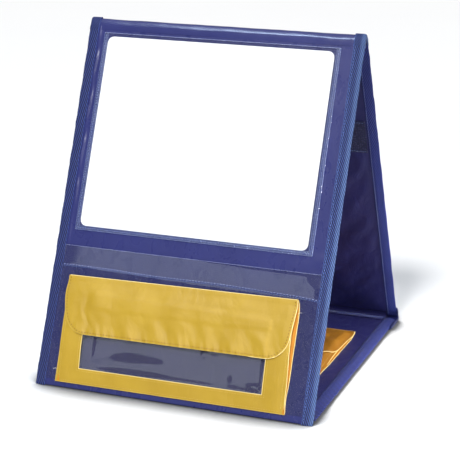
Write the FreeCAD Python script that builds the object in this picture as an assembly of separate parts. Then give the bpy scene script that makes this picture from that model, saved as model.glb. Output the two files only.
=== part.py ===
import FreeCAD, Part
import math
import os
from FreeCAD import Vector, Matrix, Placement

os.makedirs("parts", exist_ok=True)

# Tabletop pocket chart: three stiff panels in one folding cover, standing as an A-frame.
# Millimetres. x = 0 is the middle of the width, y = 0 the middle between the two feet,
# the front panel faces -Y, and the underside of the base panel is z = 0.

# ---- driving dimensions ----
W = 323.85            # panel width
SLOPE = 414.0         # inner face of the front panel, ridge axis to foot
HALF_APEX = 23.5      # degrees between a standing panel and the vertical
T = 4.0               # standing panel, inner face to outer face
T_BASE = 4.5          # base panel thickness
T_BOARD = 3.0         # stiff board inside each cover
T_SKIN = 0.5          # vinyl cover, nylon lining, woven tape
TAPE_W = 12.0         # visible width of the binding tape
EDGE = 1.0            # tape thickness round the edge
BOARD_IN = 10.0       # board to panel edge
RIM = 1.5             # folded rim of the cover at a free end
RIDGE_GAP = 1.0       # panel end to ridge axis
REAR_GAP = 0.5        # panel end to rear fold axis
Z_REAR = 5.0          # height of the rear fold axis
BASE_FRONT = -158.5   # front edge of the base panel
HINGE_BAND = 8.0      # stitched band beside a fold

CARD_W, CARD_H, CARD_T = 266.7, 215.9, 0.4
CARD_X0, CARD_S0 = -136.0, 19.2
CARD_R = 7.0
POCKET_X0, POCKET_X1 = -141.5, 137.0
POCKET_S0, POCKET_S1 = 15.0, 240.0
POCKET_WELD = 5.0
T_CLEAR = 0.3

STRIP_S0, STRIP_S1 = 258.5, 282.5

POUCH_X0, POUCH_X1 = -137.4, 130.6
POUCH_FOLD = 289.5    # slope position of the fold at the top of the front pouch
POUCH_LEN = 119.5
FLAP_LEN = 66.0
POUCH_RISE = (1.7, 6.9, 1.2)   # front sheet above the mounting face: top, middle, bottom
BASE_POUCH_LEN = 148.0
BASE_FLAP_LEN = 88.0
BASE_RISE = (1.7, 6.3, 1.2)
FLAP_R = 30.0
T_POUCH = 0.5
T_FLAP = 0.6
T_HOOK = 0.5
WIN_X0, WIN_X1 = -111.4, 103.4
WIN_UNDER, WIN_FOOT = 3.5, 16.0   # window edge under the flap, window edge to the foot
STRIP_X0, STRIP_X1 = -104.0, 82.0
HOOK_S0, HOOK_S1 = 22.0, 40.0  # from the fold

BASE_FOLD_Y = 90.0    # fold of the pouch on the base

TAB_X = 120.0         # half width of the closing tab
TAB_LEN = 78.0
TAB_LOOP_Y0, TAB_LOOP_Y1 = -130.0, -88.0

LOOP_S0, LOOP_S1 = 112.0, 156.0
ROWS = 5
ROW_S0, ROW_PITCH, ROW_H = 24.0, 76.0, 62.0

# ---- derived ----
TH = math.radians(HALF_APEX)
SN, CS = math.sin(TH), math.cos(TH)
Z_RIDGE = SLOPE * CS
S_REAR = (Z_RIDGE - Z_REAR) / CS
Y_REAR = S_REAR * SN
HW = W / 2.0
Z_BASE = T_BASE

# Local frames: x across, -y down the slope (position s), z outward from the inner face (w).
FRONT = Placement(Matrix(1, 0, 0, 0,
                         0, SN, -CS, 0,
                         0, CS, SN, Z_RIDGE,
                         0, 0, 0, 1))
BACK = Placement(Matrix(1, 0, 0, 0,
                        0, -SN, -CS, 0,
                        0, CS, -SN, Z_RIDGE,
                        0, 0, 0, 1))


def box(x0, x1, s0, s1, w0, w1):
    return Part.makeBox(x1 - x0, s1 - s0, w1 - w0, Vector(x0, -s1, w0))


def prism(pts, x0, x1):
    """Profile given as (s, w) points, run from x0 to x1."""
    vs = [Vector(x0, -s, w) for s, w in pts]
    face = Part.Face(Part.makePolygon(vs + [vs[0]]))
    return face.extrude(Vector(x1 - x0, 0, 0))


def yzprism(pts, x0, x1):
    vs = [Vector(x0, y, z) for y, z in pts]
    face = Part.Face(Part.makePolygon(vs + [vs[0]]))
    return face.extrude(Vector(x1 - x0, 0, 0))


def plan_rounded(x0, x1, s0, s1, w0, w1, r, corners):
    """Plate with a radius r at the named corners: tl, tr, bl, br, where top is the lower s."""
    pts = []

    def corner(cx, cs, a0, on, sharp):
        if not on:
            pts.append(Vector(sharp[0], -sharp[1], w0))
            return
        for k in range(13):
            a = math.radians(a0 + 90.0 * k / 12)
            pts.append(Vector(cx + r * math.cos(a), -cs + r * math.sin(a), w0))
    corner(x1 - r, s0 + r, 0, "tr" in corners, (x1, s0))
    corner(x0 + r, s0 + r, 90, "tl" in corners, (x0, s0))
    corner(x0 + r, s1 - r, 180, "bl" in corners, (x0, s1))
    corner(x1 - r, s1 - r, 270, "br" in corners, (x1, s1))
    face = Part.Face(Part.makePolygon(pts + [pts[0]]))
    return face.extrude(Vector(0, 0, w1 - w0))


def sector(cy, cz, r0, r1, a0, a1, x0, x1):
    """Ring sector about an x-axis at (cy, cz), angles in degrees from +Y towards +Z."""
    def p(r, a):
        a = math.radians(a)
        return Vector(x0, cy + r * math.cos(a), cz + r * math.sin(a))
    am = (a0 + a1) / 2.0
    edges = [Part.Arc(p(r1, a0), p(r1, am), p(r1, a1)).toShape(),
             Part.LineSegment(p(r1, a1), p(r0, a1)).toShape(),
             Part.Arc(p(r0, a1), p(r0, am), p(r0, a0)).toShape(),
             Part.LineSegment(p(r0, a0), p(r1, a0)).toShape()]
    face = Part.Face(Part.Wire(edges))
    return face.extrude(Vector(x1 - x0, 0, 0))


nodes = {}


def add(name, shape, place=None):
    shape = shape.copy()
    if place is not None:
        shape.Placement = place.multiply(shape.Placement)
    nodes[name] = shape


def mirror_back(shape):
    """A solid in front-panel coordinates moved to the back panel."""
    m = shape.copy()
    m.Placement = FRONT.multiply(m.Placement)
    return m.mirror(Vector(0, 0, 0), Vector(0, 1, 0))


# ---- standing panels ----
def panel(s0, s1, rim_end):
    """Board, cover pan, lining and the two edge tapes of a standing panel."""
    board = box(-HW + BOARD_IN, HW - BOARD_IN, s0 + 6, s1 - 6, T_SKIN, T_SKIN + T_BOARD)
    cover = box(-HW + EDGE, HW - EDGE, s0, s1, T_SKIN, T)
    cover = cover.fuse(box(-HW + TAPE_W, HW - TAPE_W, s1 - rim_end, s1, 0.0, T))
    cover = cover.cut(board).removeSplitter()
    lining = box(-HW + TAPE_W, HW - TAPE_W, s0, s1 - rim_end, 0.0, T_SKIN)

    def tape(sign, t0, t1):
        if sign < 0:
            outer = box(-HW, -HW + TAPE_W, t0, t1, 0.0, T + T_SKIN)
            inner = box(-HW + EDGE, -HW + TAPE_W + 1, t0 - 1, t1 + 1, T_SKIN, T)
        else:
            outer = box(HW - TAPE_W, HW, t0, t1, 0.0, T + T_SKIN)
            inner = box(HW - TAPE_W - 1, HW - EDGE, t0 - 1, t1 + 1, T_SKIN, T)
        return outer.cut(inner)
    return board, cover, lining, tape


fb, fc, fl, ftape = panel(RIDGE_GAP, SLOPE, RIM)
add("front_board", fb, FRONT)
add("front_cover", fc, FRONT)
add("front_lining", fl, FRONT)
add("front_tape_left", ftape(-1, HINGE_BAND + 0.2, SLOPE), FRONT)
add("front_tape_right", ftape(1, HINGE_BAND + 0.2, SLOPE), FRONT)

bb, bc, bl, btape = panel(RIDGE_GAP, S_REAR - REAR_GAP, RIM)
nodes["back_board"] = mirror_back(bb)
nodes["back_cover"] = mirror_back(bc)
nodes["back_lining"] = mirror_back(bl)
nodes["back_tape_left"] = mirror_back(btape(-1, HINGE_BAND + 0.2, S_REAR - REAR_GAP))
nodes["back_tape_right"] = mirror_back(btape(1, HINGE_BAND + 0.2, S_REAR - REAR_GAP))

# Ridge band: a leg sewn to the front panel and a crest round the ridge axis.
R_IN, R_OUT = 4.40, 4.70
crest = sector(0.0, Z_RIDGE, R_IN, R_OUT, HALF_APEX, 180.0 - HALF_APEX + 1.0, -HW, HW)
leg = prism([(-0.05, R_OUT), (3.0, 4.5), (HINGE_BAND, 4.35), (HINGE_BAND, T),
             (RIDGE_GAP + 0.02, T), (RIDGE_GAP + 0.02, 4.25), (-0.05, R_IN)], -HW, HW)
leg.Placement = FRONT.multiply(leg.Placement)
nodes["ridge_band"] = crest.fuse(leg).removeSplitter()

# Loop band on the inner face of the back panel.
nodes["back_loop_band"] = mirror_back(box(-HW + TAPE_W + 1, HW - TAPE_W - 1, LOOP_S0, LOOP_S1, -0.8, 0.0))

# Clear pocket rows on the outer face of the back panel: open at the top, welded at the foot.
for i in range(ROWS):
    a = ROW_S0 + i * ROW_PITCH
    b = a + ROW_H
    row = prism([(a, 5.0), (a, 5.0 + T_CLEAR), (b - 4, 5.0 + T_CLEAR), (b - 3, T + T_CLEAR),
                 (b, T + T_CLEAR), (b, T), (b - 3.6, T), (b - 4.6, 5.0)], -HW + TAPE_W, HW - TAPE_W)
    nodes["back_pocket_row_%d" % (i + 1)] = mirror_back(row)

# ---- large clear pocket and its card ----
pocket = box(POCKET_X0, POCKET_X1, POCKET_S0, POCKET_S1, T, 5.95)
pocket = pocket.cut(box(POCKET_X0 + POCKET_WELD, POCKET_X1 - POCKET_WELD, POCKET_S0 - 1,
                        POCKET_S1 - POCKET_WELD + 0.5, T - 1, 5.95 - T_CLEAR))
add("display_pocket", pocket, FRONT)
card = plan_rounded(CARD_X0, CARD_X0 + CARD_W, CARD_S0, CARD_S0 + CARD_H, 4.98, 4.98 + CARD_T,
                    CARD_R, ("tl", "tr", "bl", "br"))
add("write_wipe_card", card, FRONT)

# ---- clear strip pocket; the same sheet runs on to the foot behind the pouch ----
strip = prism([(STRIP_S0, 4.6), (STRIP_S0, 4.6 + T_CLEAR), (STRIP_S1 - 1.5, 4.6 + T_CLEAR),
               (STRIP_S1 - 0.5, T + T_CLEAR), (SLOPE - 4, T + T_CLEAR), (SLOPE - 4, T),
               (STRIP_S1 - 1.1, T), (STRIP_S1 - 2.1, 4.6)], -HW + TAPE_W, HW - TAPE_W)
add("strip_pocket", strip, FRONT)


# ---- pouch: back sheet with a lip, gusset, front sheet, window, closing strips, flap ----
def pouch(fold, base_w, length, flap_len, rise):
    WIN_S0, WIN_S1 = flap_len - WIN_UNDER, length - WIN_FOOT
    a = (fold + 4.3, base_w + rise[0])
    b = (fold + length / 2.0 + 1.0, base_w + rise[1])
    c = (fold + length, base_w + rise[2])
    d = 2 * (a[0] * (b[1] - c[1]) + b[0] * (c[1] - a[1]) + c[0] * (a[1] - b[1]))
    qa, qb, qc = (p[0] ** 2 + p[1] ** 2 for p in (a, b, c))
    us = (qa * (b[1] - c[1]) + qb * (c[1] - a[1]) + qc * (a[1] - b[1])) / d
    uw = (qa * (c[0] - b[0]) + qb * (a[0] - c[0]) + qc * (b[0] - a[0])) / d
    r = math.hypot(a[0] - us, a[1] - uw)

    def at(s, off):
        return uw + math.sqrt((r + off) ** 2 - (s - us) ** 2)

    def v(x, s, w):
        return Vector(x, -s, w)

    def arc(x, s0, s1, off):
        sm = (s0 + s1) / 2.0
        return Part.Arc(v(x, s0, at(s0, off)), v(x, sm, at(sm, off)), v(x, s1, at(s1, off))).toShape()

    def band(x0, x1, s0, s1, d0, d1):
        w = Part.Wire([arc(x0, s0, s1, d1),
                       Part.LineSegment(v(x0, s1, at(s1, d1)), v(x0, s1, at(s1, d0))).toShape(),
                       arc(x0, s1, s0, d0),
                       Part.LineSegment(v(x0, s0, at(s0, d0)), v(x0, s0, at(s0, d1))).toShape()])
        return Part.Face(w).extrude(Vector(x1 - x0, 0, 0))

    out = {}
    s_top, s_end = fold + 4.3, fold + length
    w_back = base_w + 0.5
    out["back"] = prism([(fold, base_w), (s_end, base_w), (s_end, w_back), (fold + 0.8, w_back),
                         (fold + 0.8, base_w + 2.3), (fold, base_w + 2.3)], POUCH_X0, POUCH_X1)
    # gusset: side walls of the lens profile and a low foot wall, open at the mouth
    w = Part.Wire([arc(POUCH_X0, s_top, s_end, 0.0),
                   Part.LineSegment(v(POUCH_X0, s_end, at(s_end, 0.0)), v(POUCH_X0, s_end, w_back)).toShape(),
                   Part.LineSegment(v(POUCH_X0, s_end, w_back), v(POUCH_X0, s_top, w_back)).toShape(),
                   Part.LineSegment(v(POUCH_X0, s_top, w_back), v(POUCH_X0, s_top, at(s_top, 0.0))).toShape()])
    lens = Part.Face(w).extrude(Vector(POUCH_X1 - POUCH_X0, 0, 0))
    out["gusset"] = lens.cut(box(POUCH_X0 + 0.6, POUCH_X1 - 0.6, s_top - 5, s_end - 0.6, 0, base_w + 30))
    sheet = band(POUCH_X0, POUCH_X1, s_top, s_end, 0.0, T_POUCH)
    hole = box(WIN_X0, WIN_X1, fold + WIN_S0, fold + WIN_S1, 0, base_w + 30)
    out["front"] = sheet.cut(hole)
    out["window"] = band(WIN_X0 + 0.05, WIN_X1 - 0.05, fold + WIN_S0 + 0.05, fold + WIN_S1 - 0.05, 0.08, 0.42)
    o = T_POUCH
    out["loop"] = band(STRIP_X0, STRIP_X1, fold + HOOK_S0, fold + HOOK_S1, o + 0.02, o + T_HOOK)
    o += T_HOOK + 0.3
    out["hook"] = band(STRIP_X0 + 2, STRIP_X1 - 2, fold + HOOK_S0 + 1, fold + HOOK_S1 - 1, o, o + T_HOOK)
    o += T_HOOK + 0.12
    s1 = fold + flap_len
    sk = fold + 8.0
    x0, x1 = POUCH_X0 - 0.4, POUCH_X1 + 0.4
    root_lo = [(fold + 0.1, base_w + 2.7), (fold + 3.0, base_w + 4.05)]
    root_hi = [(fold + 2.7, base_w + 4.9), (fold - 0.45, base_w + 3.35)]
    pts_hi = [v(x0, sk, at(sk, o + T_FLAP))] + [v(x0, s, q) for s, q in root_hi]
    pts_lo = [v(x0, s, q) for s, q in root_lo] + [v(x0, sk, at(sk, o))]
    edges = [Part.LineSegment(pts_hi[i], pts_hi[i + 1]).toShape() for i in range(2)]
    edges.append(Part.LineSegment(pts_hi[-1], pts_lo[0]).toShape())
    edges += [Part.LineSegment(pts_lo[i], pts_lo[i + 1]).toShape() for i in range(2)]
    edges.append(arc(x0, sk, s1, o))
    edges.append(Part.LineSegment(v(x0, s1, at(s1, o)), v(x0, s1, at(s1, o + T_FLAP))).toShape())
    edges.append(arc(x0, s1, sk, o + T_FLAP))
    flap = Part.Face(Part.Wire(edges)).extrude(Vector(x1 - x0, 0, 0))
    plan = plan_rounded(x0, x1, fold - 5, s1, base_w - 1, base_w + 40, FLAP_R, ("bl", "br"))
    flap = flap.common(plan)
    bead = Part.makeCylinder(0.45, x1 - x0, v(x0, fold, base_w + 3.05), Vector(1, 0, 0))
    out["flap"] = flap.fuse(bead)
    out["hinge"] = (fold + 0.0, base_w + 3.05)
    return out


fp = pouch(POUCH_FOLD, T + T_CLEAR, POUCH_LEN, FLAP_LEN, POUCH_RISE)
bp = pouch(POUCH_FOLD, T + T_CLEAR, BASE_POUCH_LEN, BASE_FLAP_LEN, BASE_RISE)
names = {"back": "pouch_back", "gusset": "pouch_gusset", "front": "pouch_front", "window": "pouch_window",
         "loop": "pouch_loop_strip", "hook": "flap_hook_strip", "flap": "pouch_flap"}
for k, n in names.items():
    add("front_" + n, fp[k], FRONT)

# ---- base panel, flat on the table ----
base_rear = Y_REAR - REAR_GAP
LEG_Y = Y_REAR - HINGE_BAND - REAR_GAP


def flat(x0, x1, y0, y1, z0, z1):
    return Part.makeBox(x1 - x0, y1 - y0, z1 - z0, Vector(x0, y0, z0))


base_board = flat(-HW + BOARD_IN, HW - BOARD_IN, BASE_FRONT + 6, LEG_Y - 1, 0.75, 0.75 + T_BOARD)
cover = flat(-HW + TAPE_W, HW - TAPE_W, BASE_FRONT, base_rear, 0.0, T_BASE - T_SKIN)
cover = cover.fuse(flat(-HW + EDGE, HW - EDGE, BASE_FRONT, base_rear, T_SKIN, T_BASE - T_SKIN))
cover = cover.fuse(flat(-HW + TAPE_W, HW - TAPE_W, BASE_FRONT, BASE_FRONT + RIM, 0.0, T_BASE))
cover = cover.cut(flat(-HW + BOARD_IN, HW - BOARD_IN, BASE_FRONT + 6, LEG_Y - 1, 0.75, T_BASE - T_SKIN))
cover = cover.cut(flat(-HW + TAPE_W - 1, HW - TAPE_W + 1, LEG_Y, base_rear + 1, -1, 0.55))
add("base_board", flat(-HW + BOARD_IN, HW - BOARD_IN, BASE_FRONT + 6, LEG_Y - 1, 0.75, T_BASE - T_SKIN))
add("base_cover", cover.removeSplitter())
add("base_lining", flat(-HW + TAPE_W, HW - TAPE_W, BASE_FRONT + RIM, base_rear, T_BASE - T_SKIN, T_BASE))
for side, sg in (("left", -1), ("right", 1)):
    x_out, x_in = sg * HW, sg * (HW - TAPE_W)
    outer = flat(min(x_out, x_in), max(x_out, x_in), BASE_FRONT, base_rear, 0.0, T_BASE)
    x_a, x_b = sg * (HW - EDGE), sg * (HW - TAPE_W - 1)
    inner = flat(min(x_a, x_b), max(x_a, x_b), BASE_FRONT - 1, base_rear + 1, T_SKIN, T_BASE - T_SKIN)
    add("base_tape_" + side, outer.cut(inner))

# Rear fold: a band let into the underside of the base, running out under the fold axis.
XB = HW - TAPE_W - 0.5
nodes["rear_fold_band"] = flat(-XB, XB, LEG_Y + 0.02, Y_REAR + 0.3, 0.05, 0.53)

# Pouch on the base: the same make, deeper, lying flat with its fold to the rear.
LIE = Placement(Matrix(1, 0, 0, 0,
                       0, 1, 0, BASE_FOLD_Y + POUCH_FOLD,
                       0, 0, 1, Z_BASE - T - T_CLEAR,
                       0, 0, 0, 1))
for k, n in names.items():
    add("base_" + n, bp[k], LIE)

# ---- closing tab that ties the foot of the front panel to the base ----
TAB_Z = 6.35
TAB_Y = -(Z_RIDGE - TAB_Z - 0.4) / CS * SN + 1.0
add("base_closing_loop", flat(-TAB_X + 4, TAB_X - 4, TAB_LOOP_Y0, TAB_LOOP_Y1, T_BASE, T_BASE + 0.8))
add("closing_hook", flat(-TAB_X + 8, TAB_X - 8, TAB_LOOP_Y0 + 2, TAB_Y + TAB_LEN - 3, T_BASE + 1.1, TAB_Z))
TAB_T = 0.8
tab = plan_rounded(-TAB_X, TAB_X, -(TAB_Y + TAB_LEN), -TAB_Y, TAB_Z, TAB_Z + TAB_T, 10.0, ("tl", "tr"))
tab = tab.fuse(Part.makeCylinder(TAB_T / 2, 2 * TAB_X, Vector(-TAB_X, TAB_Y, TAB_Z + TAB_T / 2), Vector(1, 0, 0)))
add("closing_tab", tab.removeSplitter())

print("ridge axis y=0 z=%.4f" % Z_RIDGE)
print("rear axis y=%.4f z=%.4f" % (Y_REAR, Z_REAR))
hs, hw = fp["hinge"]
print("front flap hinge y=%.4f z=%.4f" % (-hs * SN - hw * CS, Z_RIDGE - hs * CS + hw * SN))
print("base flap hinge y=%.4f z=%.4f" % (BASE_FOLD_Y + POUCH_FOLD - hs, hw + Z_BASE - T - T_CLEAR))
print("tab hinge y=%.4f z=%.4f" % (TAB_Y, TAB_Z + TAB_T / 2))

for name, shape in nodes.items():
    solids = shape.Solids
    ok = shape.isValid() and len(solids) == 1
    out = solids[0] if len(solids) == 1 else shape
    bb_ = out.BoundBox
    print("%-24s %s solids=%d vol=%.1f  x %.1f..%.1f y %.1f..%.1f z %.2f..%.2f" % (
        name, "ok" if ok else "BAD", len(solids), out.Volume, bb_.XMin, bb_.XMax, bb_.YMin, bb_.YMax, bb_.ZMin, bb_.ZMax))
    out.exportStep("parts/%s.step" % name)
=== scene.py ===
import bpy, bmesh, math
import numpy as np
from mathutils import Vector, Matrix
from mathutils.geometry import delaunay_2d_cdt


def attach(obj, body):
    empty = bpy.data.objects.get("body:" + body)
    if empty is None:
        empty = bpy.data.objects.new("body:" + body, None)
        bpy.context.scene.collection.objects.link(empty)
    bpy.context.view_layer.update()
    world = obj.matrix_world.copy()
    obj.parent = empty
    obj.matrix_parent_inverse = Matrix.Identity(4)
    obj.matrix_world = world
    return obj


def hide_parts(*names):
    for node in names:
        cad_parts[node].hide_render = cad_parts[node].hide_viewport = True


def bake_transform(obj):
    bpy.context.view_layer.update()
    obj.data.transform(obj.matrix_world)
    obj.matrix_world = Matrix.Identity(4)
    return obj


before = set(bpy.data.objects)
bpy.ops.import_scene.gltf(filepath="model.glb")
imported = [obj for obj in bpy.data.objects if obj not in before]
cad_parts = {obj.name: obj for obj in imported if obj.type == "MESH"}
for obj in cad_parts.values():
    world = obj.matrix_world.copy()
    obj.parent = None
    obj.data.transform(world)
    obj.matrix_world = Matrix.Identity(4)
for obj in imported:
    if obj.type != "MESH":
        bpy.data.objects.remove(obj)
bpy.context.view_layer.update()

# ---------------------------------------------------------------- sizes, mm
TH = math.radians(23.5)
SN, CS = math.sin(TH), math.cos(TH)
SLOPE = 414.0
ZR = SLOPE * CS
ZB = 5.0
YB = (ZR - ZB) / CS * SN
HW = 161.925
TAPE_IN = 149.9
XM = -3.4            # middle of the pouches across the width
PX0, PX1 = -137.5, 130.6


def FR(L):
    x, s, w = L[..., 0], L[..., 1], L[..., 2]
    return np.stack([x, -s * SN - w * CS, ZR - s * CS + w * SN], -1)


def FRF(L):
    """front panel with its foot cut level with the table"""
    M = np.array(L, float)
    M[..., 1] += np.clip(M[..., 2], 0, 5) / 4 * 1.65 * sstep((M[..., 1] - 396) / 18)
    return FR(M)


def BK(L):
    x, s, w = L[..., 0], L[..., 1], L[..., 2]
    return np.stack([x, s * SN + w * CS, ZR - s * CS + w * SN], -1)


def BS(L):
    return np.stack([L[..., 0], L[..., 1], L[..., 2]], -1)


# ---------------------------------------------------------------- mesh helpers
def waves(seed, wl, n=7, direction=None, spread=0.5):
    r = np.random.RandomState(seed)
    k = 2 * np.pi / (wl * (0.65 + 0.8 * r.rand(n)))
    th = r.rand(n) * 2 * np.pi if direction is None else direction + (r.rand(n) - .5) * spread
    ph = r.rand(n) * 2 * np.pi
    a = 0.5 + r.rand(n)
    a /= math.sqrt((a ** 2).sum() / 2)

    def f(x, y):
        o = 0
        for i in range(n):
            o = o + a[i] * np.sin(k[i] * (math.cos(th[i]) * x + math.sin(th[i]) * y) + ph[i])
        return o
    return f


def sstep(t):
    t = np.clip(t, 0, 1)
    return t * t * (3 - 2 * t)


def gauss(t):
    return np.exp(-t * t)


def interp(pts):
    """smooth curve through (t, value) points"""
    P = np.array(pts, float)
    t, v = P[:, 0], P[:, 1]
    m = np.gradient(v, t)

    def f(q):
        q = np.clip(q, t[0], t[-1])
        i = np.clip(np.searchsorted(t, q) - 1, 0, len(t) - 2)
        h = t[i + 1] - t[i]
        u = (q - t[i]) / h
        return ((2 * u ** 3 - 3 * u ** 2 + 1) * v[i] + (u ** 3 - 2 * u ** 2 + u) * h * m[i]
                + (-2 * u ** 3 + 3 * u ** 2) * v[i + 1] + (u ** 3 - u ** 2) * h * m[i + 1])
    return f


def make(name, verts, faces, mat, loc=None, ed=None, angle=40, flip=True):
    me = bpy.data.meshes.new(name)
    me.from_pydata((np.asarray(verts, float) * .001).tolist(), [], faces)
    if loc is not None:
        a = me.attributes.new("loc", "FLOAT_VECTOR", "POINT")
        a.data.foreach_set("vector", np.asarray(loc, np.float32).ravel())
    if ed is not None:
        a = me.attributes.new("ed", "FLOAT", "POINT")
        a.data.foreach_set("value", np.asarray(ed, np.float32).ravel())
    bm = bmesh.new()
    bm.from_mesh(me)
    bmesh.ops.recalc_face_normals(bm, faces=bm.faces)
    bm.to_mesh(me)
    bm.free()
    me.polygons.foreach_set("use_smooth", [True] * len(me.polygons))
    me.set_sharp_from_angle(angle=math.radians(angle))
    me.materials.append(mat)
    me.update()
    ob = bpy.data.objects.new(name, me)
    bpy.context.scene.collection.objects.link(ob)
    return ob


def put(ob, body, rep=()):
    if isinstance(body, str):
        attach(ob, body)
    else:
        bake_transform(ob)
    if rep:
        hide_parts(*((rep,) if isinstance(rep, str) else rep))
    return ob


def join_parts(parts):
    """[(verts, faces, loc, ed)] into one"""
    V, F, L, E, k = [], [], [], [], 0
    for v, f, l, e in parts:
        V.append(np.asarray(v, float).reshape(-1, 3))
        L.append(np.asarray(l, float).reshape(-1, 3))
        E.append(np.asarray(e, float).ravel())
        F += [[i + k for i in q] for q in f]
        k += len(V[-1])
    return np.concatenate(V), F, np.concatenate(L), np.concatenate(E)


def lines(a, b, step, near=(), fine=None):
    """grid lines from a to b, with extra ones close to both ends"""
    n = max(2, int(round((b - a) / step)) + 1)
    g = list(np.linspace(a, b, n))
    for d in near:
        g += [a + d, b - d]
    for f in fine or ():
        g.append(f)
    g = sorted(g)
    out = [g[0]]
    for q in g[1:]:
        if q - out[-1] > 0.04:
            out.append(q)
        elif q == g[-1]:
            out[-1] = q
    return np.array(out)


def grid_faces(n, m, off=0, rev=False):
    i, j = np.meshgrid(np.arange(n - 1), np.arange(m - 1), indexing="ij")
    a = (i * m + j).ravel() + off
    f = np.stack([a, a + m, a + m + 1, a + 1], -1)
    if rev:
        f = f[:, ::-1]
    return f.tolist()


def slab(U, S, top, bot, mapf, r=0.0, emin=.12, keep=None):
    """closed thin body between two height fields over a grid; r rounds its rim"""
    X, Y = np.meshgrid(U, S, indexing="ij")
    T, B = top(X, Y) + 0 * X, bot(X, Y) + 0 * X
    d = np.minimum(np.minimum(X - U[0], U[-1] - X), np.minimum(Y - S[0], S[-1] - Y))
    if r > 0:
        k = np.sqrt(np.clip(1 - (1 - np.clip(d / r, 0, 1)) ** 2, emin ** 2, 1))
        M, H = (T + B) / 2, (T - B) / 2
        T, B = M + H * k, M - H * k
    n, m = X.shape
    lt, lb = np.stack([X, Y, T], -1).reshape(-1, 3), np.stack([X, Y, B], -1).reshape(-1, 3)
    N = n * m
    F = grid_faces(n, m) + grid_faces(n, m, N, True)
    idx = np.arange(N).reshape(n, m)
    ring = list(idx[:, 0]) + list(idx[-1, 1:]) + list(idx[-2::-1, -1]) + list(idx[0, -2:0:-1])
    for a, b in zip(ring, ring[1:] + ring[:1]):
        F.append([int(a), int(b), int(b + N), int(a + N)])
    L = np.concatenate([lt, lb])
    return mapf(L), F, L, np.concatenate([d.ravel(), d.ravel()])


def rrect(x0, x1, y0, y1, r, step=2.0, corners=(1, 1, 1, 1)):
    """rounded rectangle as a polygon; corners: (x0,y0), (x1,y0), (x1,y1), (x0,y1)"""
    out = []
    cs = [(x0, y0, 180), (x1, y0, 270), (x1, y1, 0), (x0, y1, 90)]
    rr = [max(r * c, 0.0) for c in corners]
    cen = [(x0 + rr[0], y0 + rr[0]), (x1 - rr[1], y0 + rr[1]), (x1 - rr[2], y1 - rr[2]), (x0 + rr[3], y1 - rr[3])]
    pts = []
    for (cx, cy), rad, a0 in zip(cen, rr, (180, 270, 0, 90)):
        if rad < .05:
            pts.append([(cx, cy)])
        else:
            n = max(4, int(rad * math.pi / 2 / min(step, max(rad / 3, .3))))
            pts.append([(cx + rad * math.cos(math.radians(a0 + 90 * k / n)), cy + rad * math.sin(math.radians(a0 + 90 * k / n))) for k in range(n + 1)])
    for i in range(4):
        out += pts[i]
        a, b = pts[i][-1], pts[(i + 1) % 4][0]
        L = math.dist(a, b)
        n = max(1, int(round(L / step)))
        out += [(a[0] + (b[0] - a[0]) * k / n, a[1] + (b[1] - a[1]) * k / n) for k in range(1, n)]
    return np.array(out)


def pdist(P, poly):
    A, B = poly, np.roll(poly, -1, 0)
    best = np.full(len(P), 1e9)
    for a, b in zip(A, B):
        ab = b - a
        t = np.clip(((P - a) @ ab) / max(ab @ ab, 1e-12), 0, 1)
        best = np.minimum(best, np.hypot(*(P - a - t[:, None] * ab).T))
    return best


def inside(P, poly):
    A, B = poly, np.roll(poly, -1, 0)
    c = np.zeros(len(P), bool)
    for (x0, y0), (x1, y1) in zip(A, B):
        if y0 == y1:
            continue
        hit = ((y0 > P[:, 1]) != (y1 > P[:, 1])) & (P[:, 0] < (x1 - x0) * (P[:, 1] - y0) / (y1 - y0) + x0)
        c ^= hit
    return c


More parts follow.
